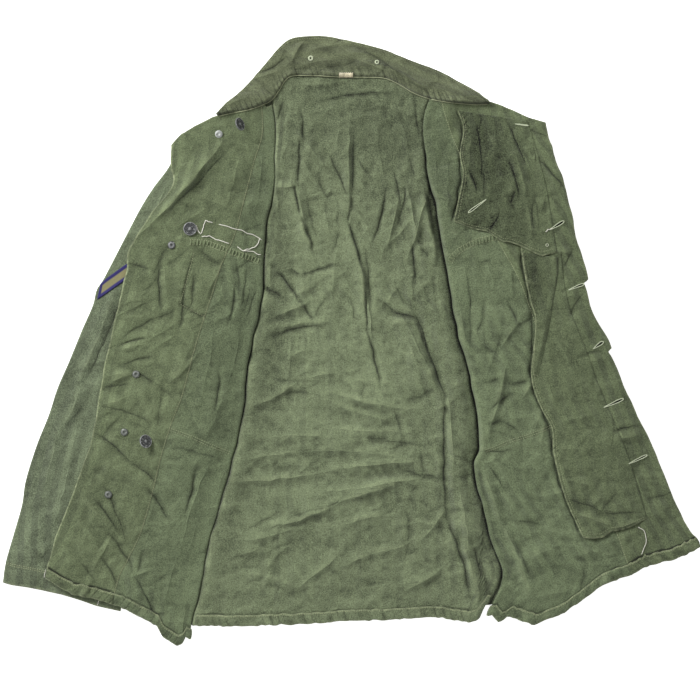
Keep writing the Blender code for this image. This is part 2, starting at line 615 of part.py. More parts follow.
class Sleeve:
    """A sleeve pressed flat: a tube open at the armhole and at the cuff."""

    def __init__(self, name, rows, count, steps, ridges=None):
        self.name, self.ridges = name, ridges
        outer, inner = (resample(column(rows, edge), count) for edge in ("outer", "inner"))
        self.outward = unit(outer - inner)
        self.plan = across(outer - self.outward * SLEEVE_REACH, inner + self.outward * SLEEVE_REACH,
                           np.linspace(0, 1, steps + 1))
        self.share = np.linspace(0, 1, steps + 1)[None]

    def lay(self, pile):
        """Lays both layers of the sleeve."""
        bed = pile.bed()
        low = pile.read(bed, self.plan) + CLOTH / 2
        puff = SLEEVE_ROOM + SLEEVE_PUFF * np.sin(np.pi * self.share) ** 0.8
        high = low + CLOTH + puff
        ridge_map = 0.0
        if self.ridges:
            fade = smooth_step(4 * self.share) * smooth_step(4 - 4 * self.share)
            high = high + fade * folds(self.ridges, self.plan[..., 0], self.plan[..., 1])
            ridge_map = folds(self.ridges, pile.grid_x, pile.grid_y)
        self.low, self.high = low, high
        pile.add(self.plan, bed + 2 * CLOTH + SLEEVE_ROOM + SLEEVE_PUFF + ridge_map)

    def build(self):
        """Makes the sleeve as a tube of cloth."""
        lower = with_height(self.plan, self.low)
        upper = with_height(self.plan, self.high)[:, ::-1]
        inner = turn(self.plan[:, -1], self.plan[:, -1], -self.outward, SLEEVE_REACH,
                     self.low[:, -1], self.high[:, -1], EDGE_STEPS)
        outer = turn(self.plan[:, 0], self.plan[:, 0], self.outward, SLEEVE_REACH,
                     self.low[:, 0], self.high[:, 0], EDGE_STEPS)[:, ::-1]
        middle = np.concatenate([lower, inner, upper, outer], axis=1)
        self.solid = wall(self.name, middle, CLOTH_OLIVE, closed=True)


def lay_flap(pile, name, rows, count, steps, look, bottom_bend=0.0):
    """A loose flap on top of the pile, between its free edge and its sewn edge."""
    free, sewn = (resample(column(rows, edge), count) for edge in ("free", "sewn"))
    shares = np.linspace(0, 1, steps + 1)
    plan = across(free, sewn, shares)
    low = smooth_step((np.linspace(0, 1, count)[:, None] - 0.6) / 0.4) * np.sin(np.pi * shares)[None] ** 2
    plan[..., 1] -= bottom_bend * low
    bed = pile.bed(spread=32, soften=12)
    height = pile.read(bed, plan) + CLOTH / 2 + folds(FLAP_FOLDS, plan[..., 0], plan[..., 1])
    pile.add(plan, bed + CLOTH + folds(FLAP_FOLDS, pile.grid_x, pile.grid_y))
    return wall(name, with_height(plan, height), look)


def lay_collar(pile):
    """The opened collar, lapped over the neck edge of the back and of both fronts."""
    seam, edge = (resample(column(COLLAR, name), ROWS_COLLAR) for name in ("seam", "edge"))
    plan = across(seam, edge, np.linspace(0, 1, 5))
    bed = pile.bed(spread=24, soften=24)
    height = pile.read(bed, plan) + COLLAR_CLOTH / 2 + folds(COLLAR_FOLDS, plan[..., 0], plan[..., 1])
    pile.add(plan, bed + COLLAR_CLOTH)
    return wall("collar", with_height(plan, height), COLLAR_OLIVE, thickness=COLLAR_CLOTH)


def add_stripe(sleeve):
    """The stripe sewn on the right sleeve's upper side."""
    low, high = column(SLEEVE_STRIPE, "low"), column(SLEEVE_STRIPE, "high")
    plan = across(resample(low, 9), resample(high, 9), [0, 0.33, 0.67, 1])
    height = height_on(sleeve.solid, plan) + CLOTH / 2 + LAY_GAP
    wall("sleeve_stripe", with_height(plan, height), STRIPE_KHAKI)


def add_label(collar):
    """What is left of the label at the middle of the neck: a small plain tab."""
    corners = np.stack([NECK_LABEL["x"], NECK_LABEL["y"]], -1).reshape(2, 2, 2)
    plan = np.stack([corners[0], corners[1, ::-1]])
    height = height_on(collar, plan) + CLOTH / 2 + SEAM_GAP
    wall("neck_label", with_height(plan, height), LABEL_CREAM)


def add_front_buttons(right):
    """Tack buttons of the right front: cap on the facing, face under the cloth."""
    cap = [(BACK_RADIUS, 0), (BACK_RADIUS, 0.5 * BACK_HEIGHT), (0.72 * BACK_RADIUS, BACK_HEIGHT),
           (0.34 * BACK_RADIUS, 0.8 * BACK_HEIGHT)]
    face = [(0.92 * BUTTON_RADIUS, 0), (BUTTON_RADIUS, 0.4 * HIDDEN_FACE_HEIGHT),
            (0.9 * BUTTON_RADIUS, HIDDEN_FACE_HEIGHT)]
    for number, (x, y) in enumerate(zip(*FRONT_BUTTONS.values()), start=1):
        above = np.nanmax(height_on(right.facing_solid, disc_points(x, y, BACK_RADIUS)))
        turned(f"button_back_{number}", cap, 12, (x, y, above + SEAM_GAP), PALE_METAL)
        below = np.nanmin(height_on(right.solid, disc_points(x, y, BUTTON_RADIUS))) - SLOPED_CLOTH
        turned(f"front_button_{number}", face, 12,
               (x, y, below - SEAM_GAP - HIDDEN_FACE_HEIGHT), DARK_METAL)


def add_inside_buttons(right):
    """The three tack buttons whose faces show on the inside of the right front."""
    profile = [(0.30 * BUTTON_RADIUS, 0), (0.30 * BUTTON_RADIUS, 0.35 * BUTTON_HEIGHT),
               (0.90 * BUTTON_RADIUS, 0.45 * BUTTON_HEIGHT), (BUTTON_RADIUS, 0.65 * BUTTON_HEIGHT),
               (0.93 * BUTTON_RADIUS, 0.95 * BUTTON_HEIGHT), (0.80 * BUTTON_RADIUS, BUTTON_HEIGHT),
               (0.45 * BUTTON_RADIUS, 1.15 * BUTTON_HEIGHT)]
    for number, (x, y, lean) in enumerate(zip(*INSIDE_BUTTONS.values()), start=1):
        ring = disc_points(x, y, 1.1 * BUTTON_RADIUS)
        above = np.nanmax([height_on(right.solid, ring), height_on(right.facing_solid, ring)])
        turned(f"inside_button_{number}", profile, 16, (x, y, above + SEAM_GAP), DARK_METAL,
               lean=lean, lean_towards=(1.0, 0.35))


def build_jacket():
    """Lays and builds the pieces from the table up."""
    pile = Pile()
    right = Front("right", FRONT_RIGHT, RIGHT_EDGES, FRONT_RIGHT_FOLDS)
    left = Front("left", FRONT_LEFT, LEFT_EDGES, FRONT_LEFT_FOLDS)
    back = Back()
    back.lay(pile, right, left)
    right.lay_lower(pile)
    left.lay_lower(pile)
    sleeve_right = Sleeve("sleeve_right", SLEEVE_RIGHT, ROWS_SLEEVE, 8, SLEEVE_FOLDS)
    sleeve_left = Sleeve("sleeve_left", SLEEVE_LEFT, ROWS_HIDDEN_SLEEVE, 5)
    sleeve_right.lay(pile)
    sleeve_left.lay(pile)
    stripe = across(column(SLEEVE_STRIPE, "low"), column(SLEEVE_STRIPE, "high"), [0, 1])
    pile.add(stripe, pile.top + CLOTH + SEAM_GAP)
    for x, y in zip(*FRONT_BUTTONS.values()):
        pile.add_disc(x, y, BUTTON_RADIUS, HIDDEN_FACE_HEIGHT + SEAM_GAP)
    right.lay_upper(pile)
    left.lay_upper(pile)
    back.build()
    right.build()
    left.build()
    sleeve_right.build()
    sleeve_left.build()
    add_stripe(sleeve_right)
    lay_flap(pile, "gas_flap_lower", GAS_FLAP_LOWER, 18, 4, FACING_OLIVE, bottom_bend=6)
    lay_flap(pile, "gas_flap_turnback", GAS_FLAP_TURNBACK, 9, 2, FLAP_OLIVE)
    lay_flap(pile, "gas_flap_upper", GAS_FLAP_UPPER, 9, 6, FLAP_OLIVE, bottom_bend=6)
    collar = lay_collar(pile)
    add_label(collar)
    add_front_buttons(right)
    add_inside_buttons(right)


for leftover in list(bpy.data.objects):
    bpy.data.objects.remove(leftover, do_unlink=True)
build_jacket()
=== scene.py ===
"""Looks of the olive cotton utility jacket that lies opened out on a pale table.

Every panel is a thin shell on the form of its solid in the frame. Its plan comes from the same
crosswise sections as the solid, its height from the solid's own skin, and its creases, puckers
and turned hems are placed on top. The shells are laid one after another on a height
map, the pile, so that none cuts into what lies below it.

Tables and sizes are millimetres on the flat garment; meshes are written in metres.
"""

import logging
import math
from dataclasses import dataclass, field
from enum import Enum
from functools import cache
from typing import Callable, Optional, Sequence, Union

import bpy
import numpy as np
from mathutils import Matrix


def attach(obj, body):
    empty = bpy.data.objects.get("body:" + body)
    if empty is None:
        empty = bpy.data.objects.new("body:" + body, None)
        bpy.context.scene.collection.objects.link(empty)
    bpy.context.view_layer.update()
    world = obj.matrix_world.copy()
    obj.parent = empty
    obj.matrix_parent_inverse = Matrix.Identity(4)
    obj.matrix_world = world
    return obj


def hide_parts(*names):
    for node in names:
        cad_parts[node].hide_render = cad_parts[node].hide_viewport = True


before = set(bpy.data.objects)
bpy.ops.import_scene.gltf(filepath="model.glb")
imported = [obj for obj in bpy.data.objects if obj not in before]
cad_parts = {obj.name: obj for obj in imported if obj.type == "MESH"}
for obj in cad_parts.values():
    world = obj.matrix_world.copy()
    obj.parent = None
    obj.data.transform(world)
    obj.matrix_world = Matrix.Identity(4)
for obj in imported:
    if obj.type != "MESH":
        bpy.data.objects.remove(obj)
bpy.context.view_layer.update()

Array = np.ndarray
Table = dict[str, Array]
Lines = dict[str, Array]
Colour = tuple[float, float, float]

log = logging.getLogger("jacket")

MM = 0.001                 # metres in a millimetre
SHEET = 0.9                # wall of one layer of cotton
SOLID_HALF = 0.5           # half the wall of the frame's solids
STEP = 1.35                # from the middle of one sewn layer to the next
GAP = 0.35                 # clear space above the pile
TURN_UP = 14.5             # depth of the hem's turned-up edge
ROLL_REACH = 6.0           # how far a front's roll reaches past its flat layers
SLEEVE_REACH = 2.2         # the same for a sleeve's long edges
WINDOW = (-0.77, 0.64)     # way to the light, in plan
CRISPNESS = 0.55           # width of a crease's sharp line against its table value
LINE_REACH = 3.6           # how far from a crease its line is known, for the finish
LINE_WAVER = 3.0           # how far a crease's line wanders
STEP_SHARE = 0.4           # how far a crease steps down, against its height
DEPTH_GAIN = 1.5           # height of a crease against its table value
HEM_WAVER = 1.5            # how far the hem's outline wanders
FEATHER = 0.2              # thickness of a sewn-down edge against its sheet's
SEWN_GAP = 0.15            # clear space under a sewn-down edge
SHORTEST_CUT = 0.0102      # shortest cut length logged for a sheet, in metres
EDGE_FADE = 0.16           # share of a front over which its top and its hem leave the sections
HEM_ROWS = 9               # rows of points up a turned-up hem
LATTICE = 64               # points along each side of a noise's lattice
MAP_HALF = np.array([484.0, 424.0])   # half the size of a height map
SKIN_CELL = 2.5            # cell of the map of a solid's skin
UP = np.array([0.0, 0.0, 1.0])


def table(columns: str, rows: Sequence[Sequence[float]]) -> Table:
    """A short table as named columns of numbers.

    Args:
        columns: the names of the columns, parted by spaces.
        rows: one row of numbers for each section or crease.

    Returns:
        Each column as an array, by its name.
    """
    values = np.array(rows, dtype=float)
    return {name: values[:, place] for place, name in enumerate(columns.split())}


# ---------------------------------------------------------------- sections of the pieces

FRONT_COLUMNS = "side_x side_y roll_x roll_y facing_x facing_y edge_x edge_y"
FRONT_RIGHT = table(FRONT_COLUMNS, [
    (-214, 254, -101, 307, -114, 302, -232, 262),
    (-221, 235, -98, 274, -113, 266, -233, 235),
    (-228, 209, -99, 235, -124, 231, -230, 203),
    (-234, 181, -101, 196, -135, 188, -260, 161),
    (-246, 138, -110, 144, -148, 139, -285, 121),
    (-255, 99, -113, 103, -166, 98, -291, 82),
    (-264, 66, -114, 66, -178, 60, -299, 47),
    (-273, 32, -120, 27, -191, 20, -309, 6),
    (-274, -12, -130, -12, -203, -20, -318, -31),
    (-274, -64, -136, -64, -216, -69, -327, -81),
    (-274, -103, -143, -103, -231, -108, -334, -124),
    (-274, -142, -150, -142, -244, -150, -348, -170),
    (-274, -191, -164, -191, -257, -203, -367, -217),
    (-274, -239, -179, -246, -270, -247, -380, -251),
    (-274, -278, -192, -304, -286, -281, -389, -278),
    (-273, -317, -204, -360, -299, -307, -393, -292),
    (-273, -337, -208, -391, -308, -341, -394, -308),
])
FRONT_LEFT = table(FRONT_COLUMNS, [
    (217, 257, 104, 315, 117, 309, 254, 283),
    (222, 238, 96, 280, 126, 277, 259, 261),
    (228, 212, 100, 235, 144, 235, 266, 238),
    (233, 188, 105, 205, 156, 205, 278, 205),
    (240, 160, 113, 170, 170, 170, 286, 170),
    (252, 118, 121, 121, 195, 122, 296, 122),
    (263, 79, 129, 79, 217, 82, 307, 86),
    (274, 40, 134, 40, 233, 40, 313, 42),
    (276, -1, 143, 1, 248, 0, 336, -1),
    (277, -48, 156, -48, 264, -47, 351, -46),
    (277, -90, 166, -90, 278, -88, 368, -87),
    (277, -134, 168, -135, 295, -134, 390, -134),
    (277, -170, 162, -165, 308, -170, 408, -174),
    (277, -211, 170, -207, 325, -211, 425, -217),
    (276, -252, 182, -252, 344, -247, 442, -246),
    (273, -298, 198, -300, 355, -276, 451, -255),
    (270, -332, 178, -352, 365, -300, 454, -266),
])
# How far the top and the hem of a front stand out from the straight line between its table
# points; "along" runs from 0 at the roll over 1 at the facing line to 2 at the front edge.
EDGE_COLUMNS = "along top hem"
RIGHT_EDGES = table(EDGE_COLUMNS, [
    (0.00, 0, 3), (0.05, 0, -9), (0.12, 0, -15), (0.20, 0, -14), (0.32, 1, -11), (0.40, 2, 0),
    (0.70, 4, 1), (1.00, 6, 0), (1.30, 10, -3), (1.55, 10, -7), (1.75, 6, -6), (1.90, 1, -3), (2.00, -8, 0),
])
LEFT_EDGES = table(EDGE_COLUMNS, [
    (0.00, 4, -5), (0.05, 4, -19), (0.12, 4, -13), (0.20, 4, -22), (0.29, 4, -33), (0.44, 4, -30),
    (0.52, 4, -28), (0.63, 4, -20), (0.75, 4, -10), (0.80, 4, -6), (1.00, 5, -3), (1.20, 7, 0),
    (1.32, 10, -1), (1.47, 14, -3), (1.57, 12, -5), (1.69, 8, -5), (1.81, 3, -4), (2.00, 0, -1),
])

BACK_TOP = table("x y", [
    (-218, 257), (-161, 287), (-114, 309), (-104, 317), (-95, 329), (-87, 341), (-75, 346),
    (0, 344), (46, 343), (65, 337), (84, 325), (107, 316), (162, 290), (221, 260),
])
BACK_HEM = table("x y", [
    (-278, -339), (-240, -352), (-203, -369), (-130, -371), (-114, -369), (-65, -368),
    (0, -364), (65, -361), (117, -359), (153, -365), (163, -363), (169, -359), (172, -343), (195, -341),
    (234, -341), (281, -332),
])
BACK_SIDES = table("y right_x left_x", [
    (-340, -278, 280), (-207, -280, 281), (-77, -278, 281), (38, -276, 278), (86, -260, 263),
    (144, -247, 247), (203, -231, 231), (260, -218, 221),
])

SLEEVE_COLUMNS = "outer_x outer_y inner_x inner_y"
SLEEVE_RIGHT = table(SLEEVE_COLUMNS, [
    (-223, 254, -146, 108), (-235, 226, -146, 95), (-255, 199, -148, 79), (-273, 170, -153, 62),
    (-296, 126, -161, 43), (-319, 82, -173, 25), (-329, 66, -180, 10), (-334, 46, -190, -8),
    (-348, 14, -208, -39),
    (-364, -25, -225, -77), (-380, -62, -243, -114), (-391, -96, -256, -148),
    (-407, -136, -270, -187), (-421, -181, -281, -230), (-426, -213, -286, -259),
    (-437, -252, -291, -292), (-447, -287, -295, -324), (-451, -313, -298, -350),
])
SLEEVE_LEFT = table(SLEEVE_COLUMNS, [
    (224, 254, 148, 108), (255, 196, 159, 73), (277, 118, 172, 30), (295, 40, 187, -14),
    (328, -44, 205, -77), (368, -135, 229, -157), (396, -207, 250, -235), (412, -262, 276, -311),
])
SLEEVE_STRIPE = table("low_x low_y high_x high_y", [
    (-328, 54, -324, 74), (-317, 61, -316, 81), (-304, 70, -305, 89), (-286, 82, -288, 101),
    (-269, 92, -273, 110),
])
COLLAR = table("seam_x seam_y edge_x edge_y", [
    (-170, 291, -174, 294), (-153, 295, -161, 308), (-131, 299, -146, 320),
    (-112, 306, -134, 332), (-100, 313, -122, 346), (-91, 325, -109, 361),
    (-83, 338, -94, 379), (-73, 343, -78, 392), (-53, 343, -57, 396), (-31, 342, -32, 396),
    (-6, 341, -6, 391), (20, 341, 21, 385), (44, 340, 46, 378), (62, 333, 65, 370),
    (82, 321, 91, 360), (104, 313, 117, 350), (126, 309, 140, 337), (150, 307, 161, 325),
    (165, 306, 171, 318), (178, 307, 181, 309),
])
FLAP_COLUMNS = "free_x free_y sewn_x sewn_y"
GAS_FLAP_UPPER = table(FLAP_COLUMNS, [
    (140, 298, 230, 285), (147, 274, 238, 261), (142, 242, 247, 229), (146, 216, 255, 196),
    (140, 183, 261, 160), (134, 155, 268, 114),
])
GAS_FLAP_LOWER = table(FLAP_COLUMNS, [
    (221, 122, 273, 117), (226, 86, 277, 79), (233, 53, 283, 47), (240, 25, 292, 21),
    (237, -12, 306, -12), (235, -51, 320, -51), (247, -86, 335, -87), (261, -113, 347, -116),
    (263, -142, 359, -144), (270, -174, 369, -174), (281, -209, 378, -204), (302, -255, 385, -230),
])
GAS_FLAP_TURNBACK = table(FLAP_COLUMNS, [
    (222, 114, 269, 108), (226, 86, 269, 86), (233, 53, 263, 53), (240, 27, 259, 26),
    (238, -12, 251, -12), (237, -44, 243, -46),
])

# ---------------------------------------------------------------- creases listed one by one

# A crease runs from one point to another, bowed sideways by "bend" at its middle. Its height
# is a ridge where positive and a trough where negative; "soft" rounds its crest.
CREASE_COLUMNS = "from_x from_y to_x to_y bend width height soft"
BACK_CREASES = table(CREASE_COLUMNS, [
    (-39, 312, 58, 321, 4, 4, -1.6, 0.3), (-70, 334, -13, 337, -2, 4, 1.2, 0.6),
    (-86, 287, -18, 204, 3, 9, 2.4, 0.8), (-64, 298, -61, 246, 1, 3, -1.6, 0.3),
    (0, 290, 1, 142, -2, 6, 2.6, 0.5), (3, 142, 30, -6, 3, 6, 3, 0.4),
    (21, 118, 25, 30, 1, 3, -1.8, 0.3), (-30, 246, -1, 183, 1, 4, -1.8, 0.4),
    (-96, 200, -69, 205, -4, 5, 2.2, 0.5), (-69, 202, -49, 117, -2, 5, 3, 0.3),
    (-57, 196, -42, 131, -2, 7, -1.4, 0.6), (104, 212, 74, 108, 3, 5, 2.6, 0.4),
    (75, 204, 92, 124, -2, 4, 2.4, 0.4), (64, 188, 47, 124, 2, 5, 2.2, 0.5),
    (96, 183, 112, 118, 0, 4, 2.2, 0.4), (55, 222, 68, 165, 2, 4, -1.6, 0.4),
    (34, 57, 81, 30, -2, 4, -1.8, 0.3), (81, 30, 120, -66, 3, 4, -2.6, 0.3),
    (62, 38, 112, -61, 3, 9, 2.6, 0.7), (-65, 55, -47, 23, 0, 3, -2, 0.3),
    (-101, 32, -52, 52, -2, 6, 2.4, 0.5), (-114, 75, -87, 56, 0, 4, -2.4, 0.3),
    (-87, 57, -39, 74, -2, 5, 1.4, 0.6), (-86, 95, -65, 90, 0, 4, 1.4, 0.5),
    (-110, 118, -104, 66, 2, 6, 1.6, 0.6), (-107, 14, -26, 25, 2, 6, 1.4, 0.6),
    (-135, -87, -65, -51, -4, 6, 2.2, 0.5), (-65, -52, 3, -40, 2, 7, 1.6, 0.7),
    (-26, -66, 91, -90, -4, 5, 1.6, 0.5), (-26, -79, 55, -103, -3, 4, 1.2, 0.5),
    (-135, -129, -26, -124, 3, 6, 1.6, 0.6), (-26, -113, 91, -118, -2, 5, 1.4, 0.6),
    (-65, -144, 65, -152, 4, 7, 1.8, 0.6), (-148, -157, -65, -144, 2, 6, 1.8, 0.6),
    (-166, -183, -26, -168, -4, 6, 2.4, 0.5), (-26, -168, 112, -157, 3, 5, 2, 0.5),
    (65, -168, 117, -178, 0, 4, -1.4, 0.4), (-52, -196, 117, -170, -5, 6, 2, 0.6),
    (-91, -240, -23, -214, -2, 5, 3.2, 0.3), (-23, -214, 65, -186, 2, 6, 2.8, 0.4),
    (-78, -228, 13, -199, -2, 7, -1.6, 0.6), (-148, -259, -65, -243, -3, 7, 1.6, 0.7),
    (-26, -243, 65, -225, 3, 8, 1.8, 0.7), (-70, -321, -13, -274, -3, 6, 1.8, 0.6),
    (-13, -295, 57, -269, 2, 6, 1.6, 0.6), (70, -326, 127, -287, -3, 6, 1.8, 0.5),
    (29, -280, 91, -254, -2, 6, 1.4, 0.6), (-166, -285, -104, -269, 2, 7, 1.4, 0.7),
    (91, -259, 125, -217, -2, 6, 2, 0.5), (104, -116, 118, -168, 1, 5, 1.4, 0.5),
    (68, 14, 91, -56, 3, 7, 1.6, 0.6), (-36, 14, -13, -51, 2, 9, 1.4, 0.8),
    (-78, 1, -83, -66, 2, 8, 1.2, 0.8), (-16, 118, -23, 53, -2, 7, 1.4, 0.7),
    (-36, 183, -26, 118, 2, 7, 1.2, 0.7), (34, 287, 44, 209, -2, 7, 1.2, 0.7),
    (60, 300, 78, 235, 2, 6, 1.4, 0.6), (83, 313, 91, 261, 0, 5, -1.6, 0.5),
    (-88, 313, -96, 285, 2, 5, -1.6, 0.5), (-13, 300, -18, 248, 0, 7, 1.2, 0.7),
    (79, 30, 104, -12, 2, 5, 1.4, 0.5), (126, -70, 133, -168, 3, 7, 3, 0.5),
    (122, -64, 125, -233, -2, 4, -2.6, 0.4), (126, -233, 156, -332, 4, 4, -2.6, 0.4),
    (140, -181, 156, -285, 2, 8, 2.4, 0.6), (164, -233, 177, -261, 1, 4, 2.4, 0.4),
    (-65, 264, -68, 202, 0, 3, -2, 0.2), (5, 264, 2, 189, 0, 4, -1.7, 0.3),
    (2, 189, -4, 155, 0, 3, -2, 0.2), (-3, 156, 17, 92, 1, 3, -3, 0.2), (18, 92, 22, 14, 0, 3, -3, 0.2),
    (23, 14, 39, -60, 1, 3, -2.6, 0.2), (-74, 204, -66, 164, 0, 3, -3, 0.2),
    (-66, 164, -48, 117, 1, 3, -3, 0.2), (-95, 88, -66, 52, 3, 3, -2.6, 0.2),
    (-78, 95, -64, 87, 0, 3, -2, 0.2), (-64, 87, -16, 101, -1, 3, -2, 0.3),
    (47, 44, 86, 30, -2, 3, -2.8, 0.2), (47, 196, 29, 129, 2, 3, -2.4, 0.2),
    (86, 30, 104, -22, 2, 3, -3, 0.2), (104, -22, 121, -68, 1, 3, -2.6, 0.2),
    (73, 200, 62, 150, 2, 3, -2.2, 0.2), (96, 196, 108, 140, 2, 3, -2.2, 0.2),
    (78, 132, 84, 74, 2, 3, -2.2, 0.2), (-100, 8, -30, 22, 2, 3, -1.8, 0.3),
    (159, -265, 179, -342, 2, 5, -2.4, 0.4), (146, -259, 164, -324, 2, 5, 1.8, 0.5),
])
FRONT_RIGHT_CREASES = table(CREASE_COLUMNS, [
    (-166, 257, -282, 130, 5, 5, 3.2, 0.2), (-156, 251, -239, 168, 3, 8, -1.6, 0.7),
    (-246, 103, -246, 39, -1, 4, -2.2, 0.3), (-239, 103, -238, 53, 0, 7, 1.6, 0.6),
    (-250, 31, -294, 4, -1, 4, -2, 0.3), (-226, 42, -250, 31, 1, 4, -1.2, 0.5),
    (-287, 100, -259, 94, 0, 3, -1.6, 0.3), (-296, 46, -263, 53, 1, 5, 1, 0.6),
    (-299, 30, -265, 30, 1, 4, 1, 0.5), (-198, 120, -165, 101, -1, 4, -1.6, 0.3),
    (-320, -48, -276, -39, 1, 4, 1.4, 0.4), (-286, -35, -252, -56, 1, 4, -1.6, 0.4),
    (-252, -56, -226, -79, 1, 5, -1, 0.5), (-324, -82, -289, -72, -1, 5, 1.2, 0.5),
    (-328, -103, -299, -90, 1, 4, -1, 0.5), (-333, -118, -283, -157, 3, 5, -2.6, 0.3),
    (-283, -157, -247, -188, 2, 5, -2, 0.4), (-325, -84, -258, -104, 2, 5, -2.2, 0.3),
    (-341, -168, -317, -186, 1, 4, 1.2, 0.5),
    (-318, -190, -290, -262, 2, 5, -2.2, 0.3), (-346, -196, -322, -233, 1, 6, 1.2, 0.6),
    (-361, -222, -325, -269, 3, 6, 1.2, 0.6), (-320, -282, -302, -318, 0, 4, -2, 0.3),
    (-354, -280, -330, -313, 1, 5, -1.2, 0.5), (-278, -308, -250, -365, 1, 4, -2.4, 0.3),
    (-270, -274, -273, -300, 0, 3, -1.4, 0.4), (-148, 100, -143, 53, 1, 4, -1.4, 0.4),
    (-122, 66, -135, 30, 1, 4, -1.2, 0.5), (-143, 27, -161, -66, 3, 8, 1.6, 0.7),
    (-177, 14, -192, -66, 2, 7, 1.4, 0.7), (-166, -77, -187, -129, 1, 7, 1.4, 0.7),
    (-182, -157, -221, -274, -3, 9, 2.2, 0.7), (-221, -274, -242, -344, -1, 7, 1.8, 0.7),
    (-156, -144, -177, -207, 2, 6, 1.6, 0.6), (-231, -136, -156, -157, 1, 4, -1, 0.5),
    (-250, -168, -260, -233, 1, 6, 1.2, 0.7), (-195, -207, -213, -285, 2, 8, 1.2, 0.8),
    (-270, -66, -260, -87, 0, 4, 1, 0.5), (-302, -12, -260, -4, 1, 5, 1.2, 0.6),
    (-208, -5, -226, -51, 1, 7, 1.2, 0.7), (-143, 248, -161, 170, 2, 9, 1.2, 0.8),
    (-114, 248, -122, 170, 1, 7, 1.4, 0.7), (-205, 248, -216, 222, 0, 6, 0.8, 0.7),
    (-213, -337, -218, -389, 0, 5, 1.4, 0.6), (-374, -259, -359, -292, 1, 6, 1.2, 0.6),
    (-166, 103, -187, 53, 1, 5, 1.2, 0.5), (-221, 14, -260, -14, 2, 6, 1, 0.7),
    (-202, 116, -221, 50, 0, 3, -1.6, 0.3), (-221, 49, -188, 30, 0, 3, -1.6, 0.3),
    (-199, 116, -164, 99, -2, 4, -1.6, 0.3), (-129, 66, -138, 38, 1, 4, -1.4, 0.4),
    (-289, -103, -265, -113, 0, 4, -1.2, 0.4), (-260, -124, -242, -144, 0, 4, 1, 0.5),
    (-216, 66, -222, 14, 1, 3, -2.2, 0.2), (-202, 92, -206, 40, 0, 3, -1.8, 0.3),
    (-150, 74, -158, 22, 2, 3, -2.2, 0.2), (-136, 88, -140, 40, 1, 3, -1.8, 0.3),
    (-300, -6, -262, 4, 2, 3, -2, 0.3), (-296, -30, -258, -20, 1, 3, -1.8, 0.3),
    (-322, -62, -284, -56, 1, 3, -2, 0.3), (-170, -40, -176, -96, 2, 3, -1.8, 0.3),
    (-200, -168, -214, -226, 1, 3, -2, 0.3), (-262, -190, -236, -232, 1, 3, -2.2, 0.2),
    (-330, -206, -300, -250, 2, 3, -2.2, 0.2), (-316, -246, -282, -296, 2, 3, -2, 0.2),
])
